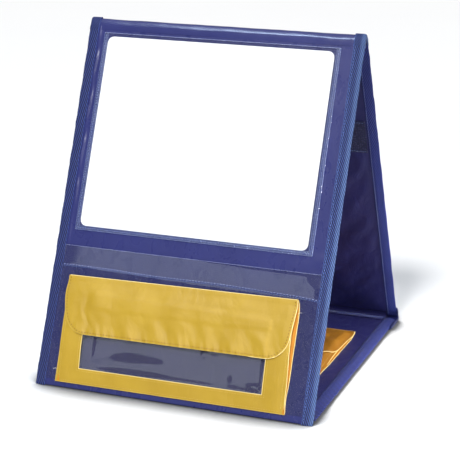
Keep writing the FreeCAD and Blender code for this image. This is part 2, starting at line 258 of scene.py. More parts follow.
def plate(outline, holes, spacing, top, bot, mapf, r=0.3, rings=(.12, .4, .75, 1.2), emin=.2, extra=None, warp=None):
    """closed thin body over any outline. outline(d), holes[i](d) give polygons d mm inside the material"""
    pts, edges = [], []
    loops = [outline(0)] + [h(0) for h in holes]
    for lp in loops:
        k = len(pts)
        pts += [tuple(p) for p in lp]
        edges += [(k + i, k + (i + 1) % len(lp)) for i in range(len(lp))]
    for q in rings:
        for g in [outline] + list(holes):
            pts += [tuple(p) for p in g(q * max(r, .3))]
    o = loops[0]
    x0, y0 = o.min(0)
    x1, y1 = o.max(0)
    gx, gy = np.meshgrid(np.arange(x0 + spacing * .5, x1, spacing), np.arange(y0 + spacing * .5, y1, spacing), indexing="ij")
    gx = gx + (np.arange(gx.shape[1]) % 2)[None, :] * spacing * .37
    G = np.stack([gx.ravel(), gy.ravel()], -1)
    lim = max(rings) * max(r, .3) + spacing * .35
    ok = inside(G, o) & (pdist(G, o) > lim)
    for h in loops[1:]:
        ok &= ~inside(G, h) & (pdist(G, h) > lim)
    pts += [tuple(p) for p in G[ok]]
    if extra is not None:
        pts += [tuple(p) for p in extra]
    res = delaunay_2d_cdt([Vector(p) for p in pts], edges, [], 0, 1e-4)
    P = np.array([tuple(v) for v in res[0]])
    tri = np.array([f for f in res[2] if len(f) == 3])
    c = P[tri].mean(1)
    keep = inside(c, o)
    for h in loops[1:]:
        keep &= ~inside(c, h)
    tri = tri[keep]
    used = np.unique(tri)
    re = np.full(len(P), -1)
    re[used] = np.arange(len(used))
    P, tri = P[used], re[tri]
    a, b, cc = P[tri[:, 0]], P[tri[:, 1]], P[tri[:, 2]]
    area = (b[:, 0] - a[:, 0]) * (cc[:, 1] - a[:, 1]) - (b[:, 1] - a[:, 1]) * (cc[:, 0] - a[:, 0])
    tri[area < 0] = tri[area < 0][:, ::-1]
    d = pdist(P, o)
    for h in loops[1:]:
        d = np.minimum(d, pdist(P, h))
    if warp is not None:
        P = warp(P)
    T, B = top(P[:, 0], P[:, 1]) + 0 * d, bot(P[:, 0], P[:, 1]) + 0 * d
    k = np.sqrt(np.clip(1 - (1 - np.clip(d / max(r, 1e-6), 0, 1)) ** 2, emin ** 2, 1))
    M, H = (T + B) / 2, (T - B) / 2
    T, B = M + H * k, M - H * k
    n = len(P)
    cnt = {}
    for f in tri:
        for i in range(3):
            e = (int(f[i]), int(f[(i + 1) % 3]))
            cnt[e] = 1
    F = tri.tolist() + (tri[:, ::-1] + n).tolist()
    for (i, j) in cnt:
        if (j, i) not in cnt:
            F.append([j, i, i + n, j + n])
    L = np.concatenate([np.column_stack([P, T]), np.column_stack([P, B])])
    return mapf(L), F, L, np.concatenate([d, d])


def rows_sheet(C, closed=True, cap=True):
    """C: (n, m, 3) rings of m points, joined along n; closed ring"""
    n, m = C.shape[:2]
    F = []
    for i in range(n - 1):
        a = i * m
        for j in range(m if closed else m - 1):
            k = (j + 1) % m
            F.append([a + j, a + k, a + m + k, a + m + j])
    if cap and closed:
        F.append(list(range(m))[::-1])
        F.append([(n - 1) * m + j for j in range(m)])
    return C.reshape(-1, 3), F


def tube(P, r, m=8, flat=1.0, up=None):
    P = np.asarray(P, float)
    T = np.gradient(P, axis=0)
    T /= np.linalg.norm(T, axis=1)[:, None]
    up = np.array((0, 0, 1.0) if up is None else up, float)
    up = np.broadcast_to(up, P.shape)
    A = np.cross(T, up)
    A /= np.maximum(np.linalg.norm(A, axis=1), 1e-9)[:, None]
    B = np.cross(A, T)
    rr = np.broadcast_to(np.asarray(r, float), (len(P),))
    a = np.arange(m) * 2 * np.pi / m
    C = P[:, None] + rr[:, None, None] * (np.cos(a)[None, :, None] * A[:, None] + flat * np.sin(a)[None, :, None] * B[:, None])
    return rows_sheet(C)


def resample(P, step):
    P = np.asarray(P, float)
    L = np.r_[0, np.cumsum(np.linalg.norm(np.diff(P, axis=0), axis=1))]
    q = np.arange(step / 2, L[-1], step)
    return np.stack([np.interp(q, L, P[:, i]) for i in range(3)], -1), q


def stitch_run(P, N, pitch=3.0, ln=2.1, wd=.5, ht=.32, lift=.08, seed=0):
    """row of thread capsules along the polyline P, N the direction that they stand proud"""
    P, N = np.asarray(P, float), np.broadcast_to(np.asarray(N, float), np.shape(P))
    Q, q = resample(P, pitch)
    L = np.r_[0, np.cumsum(np.linalg.norm(np.diff(P, axis=0), axis=1))]
    Nn = np.stack([np.interp(q, L, N[:, i]) for i in range(3)], -1)
    Nn /= np.linalg.norm(Nn, axis=1)[:, None]
    T = np.stack([np.interp(q + .3, L, P[:, i]) - np.interp(q - .3, L, P[:, i]) for i in range(3)], -1)
    T /= np.maximum(np.linalg.norm(T, axis=1), 1e-9)[:, None]
    S = np.cross(Nn, T)
    rnd = np.random.RandomState(seed)
    m = 6
    a = np.arange(m) * 2 * np.pi / m
    rings = [(-.5, .35, -.12), (-.3, 1, .02), (0, 1.05, .06), (.3, 1, .02), (.5, .35, -.12)]
    V, F, k = [], [], 0
    for i in range(len(Q)):
        tw = rnd.normal(0, .05)
        t = T[i] * math.cos(tw) + S[i] * math.sin(tw)
        s = np.cross(Nn[i], t)
        c = Q[i] + Nn[i] * lift
        for (u, rr, h) in rings:
            V.append(c + t * u * ln + Nn[i] * h * ht * 2 + rr * (np.cos(a)[:, None] * s * wd / 2 + np.sin(a)[:, None] * Nn[i] * ht / 2))
        for g in range(4):
            for j in range(m):
                jj = (j + 1) % m
                F.append([k + g * m + j, k + g * m + jj, k + (g + 1) * m + jj, k + (g + 1) * m + j])
        F.append([k + j for j in range(m)][::-1])
        F.append([k + 4 * m + j for j in range(m)])
        k += 5 * m
    V = np.concatenate(V)
    return V, F, V, np.zeros(len(V))


# ---------------------------------------------------------------- material helpers
class Mat:
    def __init__(self, name):
        self.m = bpy.data.materials.new(name)
        self.m.use_nodes = True
        self.t = self.m.node_tree
        self.t.nodes.clear()
        self.out = self.t.nodes.new("ShaderNodeOutputMaterial")

    def n(self, kind, ins=None, **props):
        q = self.t.nodes.new("ShaderNode" + kind)
        for k, v in props.items():
            setattr(q, k, v)
        for k, v in (ins or {}).items():
            if isinstance(v, bpy.types.NodeSocket):
                self.t.links.new(v, q.inputs[k])
            else:
                q.inputs[k].default_value = v
        return q

    def loc(self):
        return self.n("Attribute", attribute_type="GEOMETRY", attribute_name="loc").outputs["Vector"]

    def ed(self):
        return self.n("Attribute", attribute_type="GEOMETRY", attribute_name="ed").outputs["Fac"]

    def xyz(self, v):
        q = self.n("SeparateXYZ", {0: v})
        return q.outputs[0], q.outputs[1], q.outputs[2]

    def math(self, op, a, b=0.0, c=0.0, clamp=False):
        q = self.n("Math", {0: a, 1: b, 2: c}, operation=op)
        q.use_clamp = clamp
        return q.outputs[0]

    def noise(self, vec, scale, detail=3.0, rough=.5, dist=0.0):
        return self.n("TexNoise", {"Vector": vec, "Scale": scale, "Detail": detail, "Roughness": rough, "Distortion": dist}).outputs["Fac"]

    def map(self, v, a, b, c, d, smooth=False):
        q = self.n("MapRange", {0: v, 1: a, 2: b, 3: c, 4: d})
        if smooth:
            q.interpolation_type = "SMOOTHSTEP"
        return q.outputs[0]

    def mix(self, f, a, b, blend="MIX"):
        q = self.n("Mix", data_type="RGBA", blend_type=blend)
        for k, v in ((0, f), (6, a), (7, b)):
            if isinstance(v, bpy.types.NodeSocket):
                self.t.links.new(v, q.inputs[k])
            else:
                q.inputs[k].default_value = v
        return q.outputs[2]

    def scale(self, vec, s):
        q = self.n("VectorMath", {0: vec, 1: s}, operation="MULTIPLY")
        return q.outputs[0]

    def bump(self, h, dist, strength=1.0, normal=None):
        q = self.n("Bump", {"Height": h, "Distance": dist, "Strength": strength})
        if normal is not None:
            self.t.links.new(normal, q.inputs["Normal"])
        return q.outputs[0]

    def surface(self, s):
        self.t.links.new(s, self.out.inputs[0])
        return self.m

    def principled(self, **ins):
        return self.n("BsdfPrincipled", {k.replace("_", " "): v for k, v in ins.items()}).outputs[0]


def rgb(r, g, b):
    return (r, g, b, 1.0)


def vinyl(name, col, col2, rough=(.26, .42), bump=.00012, spec=.5):
    """supported vinyl: glossy, with soft creasing and a faint grain"""
    q = Mat(name)
    L = q.loc()
    big = q.noise(q.scale(L, (.018, .012, .02)), 1.0, 3.0, .55)
    fine = q.noise(q.scale(L, (.9, .9, .9)), 1.0, 2.0, .6)
    crease = q.noise(q.scale(L, (.07, .045, .05)), 1.0, 4.0, .55, .6)
    c = q.mix(q.map(big, .3, .7, 0, 1), col, col2)
    c = q.mix(q.map(fine, .3, .7, 0, .12), c, rgb(col2[0] * 1.25, col2[1] * 1.25, col2[2] * 1.25))
    ro = q.map(crease, .25, .75, rough[0], rough[1])
    b = q.bump(crease, .0012, .14)
    b = q.bump(fine, bump, .6, b)
    return q.surface(q.principled(Base_Color=c, Roughness=ro, Normal=b, Specular_IOR_Level=spec))


def nylon(name, col, col2, rough=.5, sheen=.25, wrinkle=.0010, edge=None, weave=.42, wr_scale=(.05, .03, .05), spec=.35):
    """coated nylon: fine plain weave, soft wrinkles; edge paints a tint along the sheet's edges: a painted highlight
    on the yellow hems, a painted shadow line on the linings
    """
    q = Mat(name)
    L = q.loc()
    x, s, w = q.xyz(L)
    big = q.noise(q.scale(L, (.025, .02, .03)), 1.0, 3.0, .5)
    wr = q.noise(q.scale(L, wr_scale), 1.0, 4.0, .5, .8)
    k = 2 * math.pi / weave
    a = q.math("SINE", q.math("MULTIPLY", x, k))
    b = q.math("SINE", q.math("MULTIPLY", s, k))
    wv = q.math("MULTIPLY", a, b)
    c = q.mix(q.map(big, .3, .7, 0, 1), col, col2)
    c = q.mix(q.map(wv, -1, 1, 0, .14), c, rgb(min(col2[0] * 1.35, 1), min(col2[1] * 1.35, 1), min(col2[2] * 1.35, 1)))
    # painted light: the edge colour is mixed in by distance to the sheet's edge; pale edges are a painted highlight,
    # dark edges a painted shadow line
    if edge:
        e = q.map(q.ed(), 0.05, .9, 1, 0, True)
        c = q.mix(q.math("MULTIPLY", e, edge[1]), c, edge[0])
    n1 = q.bump(wr, wrinkle, .5)
    n1 = q.bump(wv, .00004, .5, n1)
    ro = q.map(wr, .25, .75, rough - .07, rough + .1)
    return q.surface(q.principled(Base_Color=c, Roughness=ro, Normal=n1, Sheen_Weight=sheen, Sheen_Roughness=.4, Specular_IOR_Level=spec))


def twill(name, dark, light, p=2.4, rough=.62, sheen=.08, pale=0.0, sel=(1.5, 1.35), selw=1.1):
    """woven binding tape: diagonal ribs, their dark valleys partly painted shade; paler selvages, which sel can darken
    into a painted shadow line; pale paints a highlight on the outer half of the tape
    """
    q = Mat(name)
    L = q.loc()
    u, v, w = q.xyz(L)
    wob = q.noise(q.scale(L, (.35, .12, 0)), 1.0, 2.0)
    ph = q.math("ADD", q.math("MULTIPLY", u, .85 * 2 * math.pi / p), q.math("MULTIPLY", v, -.5 * 2 * math.pi / p))
    ph = q.math("ADD", ph, q.math("MULTIPLY", wob, 1.6))
    rib = q.math("SINE", ph)
    k = 2 * math.pi / .55
    yarn = q.math("SINE", q.math("MULTIPLY", v, k))
    big = q.noise(q.scale(L, (.05, .02, 0)), 1.0, 3.0)
    f = q.map(rib, -.55, .75, 0, 1, True)
    # the dark colour in the rib valleys is partly painted shade
    c = q.mix(f, dark, light)
    c = q.mix(q.map(big, .3, .7, 0, .25), c, dark)
    e = q.map(q.ed(), 0.1, selw, 1, 0, True)
    c = q.mix(q.math("MULTIPLY", e, .6 if selw < 1.2 else .9), c, rgb(light[0] * sel[0], light[1] * sel[0], light[2] * sel[1]))
    # painted highlight: the outer half of the tape is lightened as if lit from the side
    if pale:
        o = q.math("MULTIPLY", q.map(w, 6.2, 9.6, 0, pale, True), q.map(f, 0, 1, .40, 1.0))
        c = q.mix(o, c, rgb(light[0] * 2.2, light[1] * 2.1, light[2] * 1.35))
    n1 = q.bump(f, .00034, .9)
    n1 = q.bump(yarn, .00004, .5, n1)
    return q.surface(q.principled(Base_Color=c, Roughness=rough, Normal=n1, Sheen_Weight=sheen, Sheen_Roughness=.35, Specular_IOR_Level=.3))


def film(name, tint=(.93, .94, .97), haze=(.30, .33, .42), haze_amt=.10, rough=.06, spec=1.0, wrinkle=.0006, wscale=(.03, .02, .02), strength=.5, edge=0.0):
    """clear soft vinyl: see-through, faintly milky, glossy"""
    q = Mat(name)
    L = q.loc()
    wr = q.noise(q.scale(L, wscale), 1.0, 3.0, .5, .6)
    nrm = q.bump(wr, wrinkle, strength)
    fc = q.n("LayerWeight", {"Blend": .5, "Normal": nrm}).outputs["Facing"]
    fr = q.math("MULTIPLY_ADD", q.math("POWER", fc, 5.0), .96, .04)
    g = q.n("BsdfGlossy", {"Color": rgb(1, 1, 1), "Roughness": rough, "Normal": nrm}).outputs[0]
    tr = q.n("BsdfTransparent", {"Color": rgb(*tint)}).outputs[0]
    df = q.n("BsdfDiffuse", {"Color": rgb(*haze), "Normal": nrm}).outputs[0]
    fine = q.noise(q.scale(L, (.12, .05, .1)), 1.0, 4.0)
    hz = q.map(fine, .3, .7, haze_amt * .75, haze_amt * 1.25)
    # edge adds haze along the sheet's edges; on the hem it is partly a painted highlight
    if edge:
        hz = q.math("ADD", hz, q.math("MULTIPLY", q.map(q.ed(), .05, .8, 1, 0, True), edge))
    a = q.n("MixShader", {0: hz, 1: tr, 2: df}).outputs[0]
    b = q.n("MixShader", {0: q.math("MULTIPLY", fr, spec), 1: a, 2: g}).outputs[0]
    return q.surface(b)


def plain(name, col, rough=.5, sheen=0.0, scale=1.5, amt=.15, bump=.00005, spec=.5):
    q = Mat(name)
    tc = q.n("TexCoord").outputs["Object"]
    nz = q.noise(q.scale(tc, (1000 * scale,) * 3), 1.0, 3.0)
    c = q.mix(q.map(nz, .3, .7, 0, 1), rgb(col[0] * (1 - amt), col[1] * (1 - amt), col[2] * (1 - amt)), rgb(*[min(1, v * (1 + amt)) for v in col]))
    return q.surface(q.principled(Base_Color=c, Roughness=rough, Normal=q.bump(nz, bump, .6), Sheen_Weight=sheen, Specular_IOR_Level=spec))


def pile(name, col, p=1.6, bump=.0006, rough=.8):
    """hook or loop tape: rows of small tufts"""
    q = Mat(name)
    L = q.loc()
    vo = q.n("TexVoronoi", {"Vector": q.scale(L, (1 / p, 1 / p, .01)), "Scale": 1.0, "Randomness": .45})
    d = vo.outputs["Distance"]
    f = q.map(d, .05, .5, 1, 0)
    fz = q.noise(q.scale(L, (2.2, 2.2, 2.2)), 1.0, 3.0)
    c = q.mix(f, rgb(col[0] * .55, col[1] * .55, col[2] * .55), rgb(*[v * 1.5 for v in col]))
    c = q.mix(q.map(fz, .35, .7, 0, .35), c, rgb(*[v * 2 for v in col]))
    return q.surface(q.principled(Base_Color=c, Roughness=rough, Normal=q.bump(q.math("ADD", f, q.math("MULTIPLY", fz, .5)), bump, .8), Sheen_Weight=.1, Specular_IOR_Level=.3))


M_COVER = vinyl("cover_vinyl", rgb(.0225, .026, .114), rgb(.0275, .032, .134), rough=(.25, .31), spec=.36)
M_RIDGE = vinyl("ridge_vinyl", rgb(.0225, .026, .114), rgb(.0275, .032, .134), rough=(.17, .20), spec=.9)
# the lining's near-black edge tint is a painted shadow line where it runs under the tapes
M_LINING = nylon("lining_nylon", rgb(.021, .021, .098), rgb(.027, .027, .125), rough=.40, sheen=0, wrinkle=.0026, edge=(rgb(.004, .004, .022), .95), wr_scale=(.05, .035, .05), spec=.3)
# one tape in several copies: the left front copy is darker as painted shade, the right front copy lighter as painted
# light with a painted highlight on its outer half
M_TAPE = twill("binding_twill", rgb(.002, .004, .032), rgb(.030, .050, .212))
M_LIT_TAPE_RIGHT = twill("binding_twill_lit_right", rgb(.002, .0035, .029), rgb(.037, .068, .240), pale=.85)
# the rear copy's near-black selvages are a painted shadow line along the tapes' inner edges
M_TAPE_B = twill("binding_twill_rear", rgb(.002, .004, .045), rgb(.038, .056, .330), sel=(.12, .14), selw=1.9)
# the yellow's paler edge tint is a painted highlight along the hems
M_YELLOW = nylon("yellow_nylon", rgb(.375, .232, .016), rgb(.430, .274, .023), rough=.40, sheen=0, wrinkle=.0022, edge=(rgb(.70, .50, .13), .5), spec=.3)
# darker, more orange copy of the yellow nylon for the base pouch: painted shade for its place under the panels; its
# pale edge tint is a painted highlight
M_BASE_POUCH_SHADED = nylon("yellow_nylon_painted_shade", rgb(.315, .129, .012), rgb(.365, .154, .016), rough=.40, sheen=0, wrinkle=.0016, edge=(rgb(.95, .62, .20), .7), spec=.25)
# darker orange copy of the yellow nylon for the gusset pleats: painted shade inside the pleat
M_YSHADE = nylon("gusset_nylon_painted_shade", rgb(.46, .17, .010), rgb(.52, .21, .013), rough=.5, sheen=0, wrinkle=.0012, spec=.25)
# paler yellow for beads along the edges: a painted highlight
M_EDGE_HIGHLIGHT = nylon("yellow_edge_painted_highlight", rgb(.76, .58, .22), rgb(.84, .66, .28), rough=.4, sheen=0, wrinkle=.0004)
M_POUCHBACK = nylon("pouch_back_nylon", rgb(.020, .021, .090), rgb(.028, .028, .115), rough=.4, sheen=0, wrinkle=.0015)
M_FILM = film("clear_film", tint=(.985, .985, .99), haze=(.75, .77, .80), haze_amt=.012, rough=.05, strength=.3)
# the rim's milky edges are partly the welded vinyl's haze, partly a painted highlight for the light lines along the
# hem
M_RIM = film("clear_rim", tint=(.93, .95, 1.0), haze=(.24, .31, .60), haze_amt=.07, rough=.20, edge=.36)
M_WELD = vinyl("weld_vinyl", rgb(.022, .030, .135), rgb(.028, .038, .165), rough=(.24, .34), spec=.4)
M_LIP = film("clear_lip", tint=(.93, .93, .95), haze=(.33, .38, .62), haze_amt=.38, rough=.12)
M_STRIP = film("clear_strip", tint=(.925, .92, .945), haze=(.33, .35, .38), haze_amt=.024, rough=.03, wrinkle=.0006, strength=.04)
M_WINDOW = film("clear_window", tint=(.93, .92, .90), haze=(.34, .35, .38), haze_amt=.025, rough=.06, wrinkle=.0008, wscale=(.02, .03, .02), strength=.15)
M_THREAD_B = plain("thread_blue", (.10, .17, .46), .6, .1)
M_THREAD_P = plain("thread_pale", (.26, .32, .62), .5, .1)
M_THREAD_L = plain("thread_light", (.29, .35, .67), .5, .1)
M_THREAD_N = plain("thread_navy", (.010, .013, .075), .6, 0)
# the flap stitches' dark ochre is partly painted shade in the sunk stitch holes
M_THREAD_O = plain("thread_ochre", (.20, .090, .006), .6, 0)
M_THREAD_Y = plain("thread_yellow", (.47, .30, .035), .6, .3)
M_THREAD_W = plain("thread_white", (.80, .80, .78), .6, .3)
M_HOOK = pile("hook_tape", (.03, .03, .10), 1.3)
M_LOOP = pile("loop_tape", (.022, .024, .085), 2.6, .0012)


def card_material():
    """laminated write-and-wipe card: clean white, faint printed guide lines near its edges"""
    q = Mat("card_laminate")
    L = q.loc()
    x, s, w = q.xyz(L)
    nz = q.noise(q.scale(L, (.02, .02, .02)), 1.0, 2.0)
    c = q.mix(q.map(nz, .3, .7, 0, 1), rgb(.93, .93, .935), rgb(.945, .945, .945))
    dots = q.map(q.math("SINE", q.math("MULTIPLY", q.math("ADD", s, 0), 2 * math.pi / 3.4)), -.2, .2, 0, 1)
    dots2 = q.map(q.math("SINE", q.math("MULTIPLY", q.math("ADD", x, 0), 2 * math.pi / 3.4)), -.2, .2, 0, 1)

    def band(v, at, half):
        return q.map(q.math("ABSOLUTE", q.math("SUBTRACT", v, at)), half * .6, half, 1, 0, True)

    inx = q.math("MULTIPLY", q.map(x, -130, -128.5, 0, 1), q.map(x, 122.5, 124, 1, 0))
    ins = q.math("MULTIPLY", q.map(s, 24.5, 25.5, 0, 1), q.map(s, 227.5, 228.5, 1, 0))
    lr = q.math("MAXIMUM", band(x, -129, .8), band(x, 123.4, .8))
    mask = q.math("MULTIPLY", q.math("MULTIPLY", lr, dots), ins)
    bt = q.math("MULTIPLY", q.math("MULTIPLY", band(s, 227.8, .8), dots2), inx)
    tp = q.math("MULTIPLY", band(s, 25.3, .45), inx)
    mask = q.math("MAXIMUM", q.math("MAXIMUM", mask, bt), q.math("MULTIPLY", tp, .8))
    c = q.mix(q.math("MULTIPLY", mask, .22), c, rgb(.55, .60, .66))
    return q.surface(q.principled(Base_Color=c, Roughness=.22, Specular_IOR_Level=.4))


def board_material():
    q = Mat("grey_board")
    tc = q.n("TexCoord").outputs["Object"]
    nz = q.noise(q.scale(tc, (900, 900, 900)), 1.0, 4.0)
    big = q.noise(q.scale(tc, (60, 60, 60)), 1.0, 3.0)
    c = q.mix(nz, rgb(.34, .29, .22), rgb(.47, .41, .32))
    c = q.mix(q.map(big, .3, .7, 0, .3), c, rgb(.40, .36, .30))
    return q.surface(q.principled(Base_Color=c, Roughness=.9, Normal=q.bump(nz, .0001, .6)))


M_CARD = card_material()
M_BOARD = board_material()
for nm in ("front_board", "back_board", "base_board"):
    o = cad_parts[nm]
    for sl in o.material_slots:
        sl.link = "OBJECT"
        sl.material = M_BOARD
    if not o.material_slots:
        o.data.materials.append(M_BOARD)

# ---------------------------------------------------------------- covers of the three panels
EDGE_NEAR = (.05, .15, .35, .6, .9, 1.3)
xs = lines(-160.6, 160.6, 4.0, EDGE_NEAR, fine=[s * v for s in (-1, 1) for v in (149.9, 149.2, 148.5, 147.6, 146.6, 145.4, 144, 142.4, 140.5)])
wobble_l = waves(11, 46, 6, math.pi / 2, .2)
wobble_r = waves(12, 60, 6, math.pi / 2, .2)
broad = waves(13, 120, 8)
mid = waves(14, 42, 8)


def seam_dip(x, s):
    """the cover swells beside the left binding tape and is drawn down where that tape is sewn; on the right it stays
    flat
    """
    env = .35 + .65 * sstep((s - 8) / 30) * sstep((235 - s) / 60)
    al = np.clip(.70 + .42 * wobble_l(0, s), .12, 1.3) * env
    cl = 147.7 + .45 * wobble_r(3, s)
    l = .84 * al * gauss((x + cl) / 1.1) - .36 * gauss((x + 150.9) / 1.3)
    return np.where(x < 0, l, 0 * x)


def rim_drop(x):
    """the covers thin out inside the folded tapes"""
    return 1.40 * sstep((np.abs(x) - 152.6) / 6.5)


def diag_folds(x, s):
    """tension folds to the right of the big pocket's lower corner"""
    k = sstep((x - 95) / 35) * gauss((s - 249) / 15)
    u = (x - 120) * .42 + (s - 250) * .91
    return k * (.38 * np.sin(u * 2 * math.pi / 17) + .2 * np.sin(u * 2 * math.pi / 8.5 + 1 + x * .05))


def cover_top(x, s):
    below = sstep((s - 250) / 10)
    w = 3.98 + (.10 * broad(x, s) + .03 * mid(x, s)) * (1 - .75 * below) + diag_folds(x, s) * (1 - .85 * sstep((s - 254) / 5))
    w = np.clip(w, 3.86, 4.0 + .28 - .20 * below)
    k = sstep((np.abs(x) - 149.9) / 1.0)
    w = w + seam_dip(x, s) * (1 - .5 * below)
    return np.maximum(w * (1 - k) + 3.70 * k, 3.57) - rim_drop(x)


def front_top(x, s):
    return cover_top(x, s) + 0 * x


ss = lines(6.8, 414.0, 4.5, EDGE_NEAR)
v, f, l, e = slab(xs, ss, front_top, lambda x, s: .62 + .6 * rim_drop(x), FRF, r=1.5, emin=.03)
front_cover = put(make("front_cover_skin", v, f, M_COVER, l, e, 60), "front", "front_cover")

broad_b = waves(15, 110, 8)
ss = lines(6.8, 408.0, 4.5, EDGE_NEAR)
v, f, l, e = slab(xs, ss, lambda x, s: np.maximum(np.where(np.abs(x) > 150.5, 3.70, 3.98 + .07 * broad_b(x, s) - .35 * gauss((np.abs(x) - 150.9) / 2.2)), 3.57) - rim_drop(x), lambda x, s: .62 + .6 * rim_drop(x), BK, r=1.9, emin=.03)
put(make("back_cover_skin", v, f, M_COVER, l, e, 60), "back", "back_cover")

yb = lines(-158.5, 162.2, 4.5, EDGE_NEAR)
v, f, l, e = slab(xs, yb, lambda x, s: 3.88 - rim_drop(x), lambda x, s: .06 + .3 * sstep((np.abs(x) - 149.0) / 1.5) + .6 * rim_drop(x), BS, r=1.9, emin=.03)
put(make("base_cover_skin", v, f, M_COVER, l, e, 60), "base", "base_cover")

# linings, drawn tight between the tapes with diagonal wrinkles
xl = lines(-150.5, 150.5, 3.4, (.4, 1.0, 1.8))
wr1 = waves(21, 34, 7, math.radians(50), .7)
wr2 = waves(22, 17, 7, math.radians(38), .8)
wr3 = waves(23, 60, 6, math.radians(140), .8)


def lining_bulge(x, s, s0, s1, amp=1.0):
    # the two linings lie on each other near the ridge when the chart is folded
    k = sstep((150.0 - np.abs(x)) / 14) * sstep((s - s0) / 16) * sstep((s1 - s) / 16)
    if s0 > 0:
        k = k * sstep((s - 20) / 92)
    return amp * k * (.40 * wr1(x, s) + .16 * wr2(x, s) + .26 * wr3(x, s) + .55)


def lining(name, mapf, s0, s1, base_w, sign, body, rep, amp=1.0, th=.22, band=None):
    s = lines(s0, s1, 3.4)

    def free(q):
        return 1 if band is None else 1 - sstep((q - band[0] + 9) / 8) * sstep((band[1] + 9 - q) / 8)

    def outer(x, q):
        return base_w - sign * .26 * sstep((np.abs(x) - 143.5) / 3.5) + sign * np.maximum(lining_bulge(x, q, s0, s1, amp) * free(q), -.05)
    v, f, l, e = slab(xl, s, lambda x, q: outer(x, q), lambda x, q: outer(x, q) - sign * th, mapf)
    o = put(make(name, v, f, M_LINING, l, e, 60), body, rep)
    return o


lining("front_lining_sheet", FR, 1.4, 410.5, .22, -1, "front", "front_lining", .45)
lining("back_lining_sheet", BK, 1.4, 402.5, .22, -1, "back", "back_lining", 1.0, band=(112, 156))
lining("base_lining_sheet", BS, -156.5, 158.0, 4.42, 1, "base", "base_lining", .16)

# ---------------------------------------------------------------- binding tapes
def c_profile(n_round=7, xi=149.8):
    """outer outline of the folded tape, from the inner side's edge round to the front edge: (x, w, arc)"""
    P = []
    for t in np.linspace(0, 1, 8):
        P.append((xi + (159.4 - xi) * t, .0))
    for a in np.linspace(-90, 90, n_round + 2)[1:-1]:
        P.append((159.5 + 2.35 * math.cos(math.radians(a)), 2.25 + 2.25 * math.sin(math.radians(a))))
    for t in np.linspace(1, 0, 10):
        P.append((xi + (159.4 - xi) * t, 4.5))
    P = np.array(P)
    # rounder towards the outer edge
    P[:, 1] -= 1.35 * sstep((P[:, 0] - 152.5) / 9.0) * (P[:, 1] - 2.25) / 2.25
    return P


def closed_tape(P, th):
    """P open polyline (n,2) -> closed outline of the tape with that thickness, plus arc length and edge distance"""
    T = np.gradient(P, axis=0)
    T /= np.linalg.norm(T, axis=1)[:, None]
    N = np.column_stack([-T[:, 1], T[:, 0]])      # to the left of travel: towards the panel
    I = P + N * th
    arc = np.r_[0, np.cumsum(np.linalg.norm(np.diff(P, axis=0), axis=1))]
    ring = np.concatenate([P, I[::-1]])
    u = np.concatenate([arc, arc[::-1]])
    e = np.minimum(u, arc[-1] - u)
    return ring, u, e


def tape(name, mapf, s0, s1, side, body, rep, seed, xi=149.8, lift=0.0):
    P = c_profile(xi=xi)
    ring, u, e = closed_tape(P, .42)
    S = lines(s0, s1, 1.5)
    pk = np.random.RandomState(seed)
    nz1, nz2 = waves(seed, 22, 7), waves(seed + 1, 9, 7)
    C = np.zeros((len(S), len(ring), 3))
    W = np.zeros((len(S), len(ring)))
    flat = np.clip((160 - ring[:, 0]) / 9, 0, 1)
    for i, s in enumerate(S):
        x = ring[:, 0] + .10 * nz1(s, 40) + .06 * nz2(s, 9)
        puff = .07 * nz1(u, s) + .035 * nz2(u * 1.3, s)
        # a shallow trough along the stitch line, deeper at each stitch
        tr = -.20 * gauss((ring[:, 0] - xi - 2.0) / .8) * (1 + .5 * math.cos(2 * math.pi * s / 3.2))
        out = np.sign(ring[:, 1] - 2.25) * (puff + tr) * flat
        out = np.where(ring[:, 1] < 2.25, out * sstep((s - s0 - 4) / 40) if body != "base" else out, out)
        w = ring[:, 1] + out + lift * (ring[:, 1] > 2.25)
        x = x + (1 - flat) * (puff) * .8
        C[i, :, 0], C[i, :, 1], C[i, :, 2] = side * x, s, w
    fine = 1.12 if side > 0 else 1.0
    L = np.stack([np.broadcast_to(-side * (u - u.mean()), C.shape[:2]) * fine, C[..., 1] * fine, np.abs(C[..., 0]) - xi], -1)
    V, F = rows_sheet(C)
    E = np.broadcast_to(e, C.shape[:2]).ravel()
    o = put(make(name, mapf(V), F, M_TAPE_B if body != "front" else M_LIT_TAPE_RIGHT if side > 0 else M_TAPE, L.reshape(-1, 3), E, 50), body, rep)
    # thread, front and inner side
    q = np.linspace(s0 + 2, s1 - 2, 300)
    parts = []
    for w, n in ((4.5 + lift - .14, 1), (.14, -1)):
        qa = q if n > 0 or body == "base" else q[q > s0 + 38]
        line = np.stack([np.full_like(qa, side * (xi + 2.0)), qa, np.full_like(qa, w)], -1)
        N = mapf(np.array([[0, 0, n]], float)) - mapf(np.array([[0, 0, 0]], float))
        parts.append(stitch_run(mapf(line), N, 3.2, 2.2, .45, .34, .06, seed))
    V, F, L, E = join_parts(parts)
    # the right front row's lighter blue and the left front row's navy are a lit and a shaded copy of one thread; the
    # base's navy also paints the dark line along the base tapes' inner edge
    put(make(name + "_stitches", V, F, {"front": M_THREAD_B if side > 0 else M_THREAD_N, "back": M_THREAD_P, "base": M_THREAD_N}[body], L, E), body, ())
    return o


for side, nm in ((-1, "left"), (1, "right")):
    tape(f"front_tape_{nm}_twill", FRF, 6.0, 414.2, side, "front", f"front_tape_{nm}", 31 if side < 0 else 41)
    tape(f"back_tape_{nm}_twill", BK, 6.0, 405.5, side, "back", f"back_tape_{nm}", 51 if side < 0 else 61)
    tape(f"base_tape_{nm}_twill", BS, -158.8, 160.0, side, "base", f"base_tape_{nm}", 71 if side < 0 else 81, 147.4, .12)

# ---------------------------------------------------------------- the ridge
ARC0, ARC1 = math.radians(23.5), math.radians(156.5)
R0 = 4.4
QARC = (ARC1 - ARC0) * R0


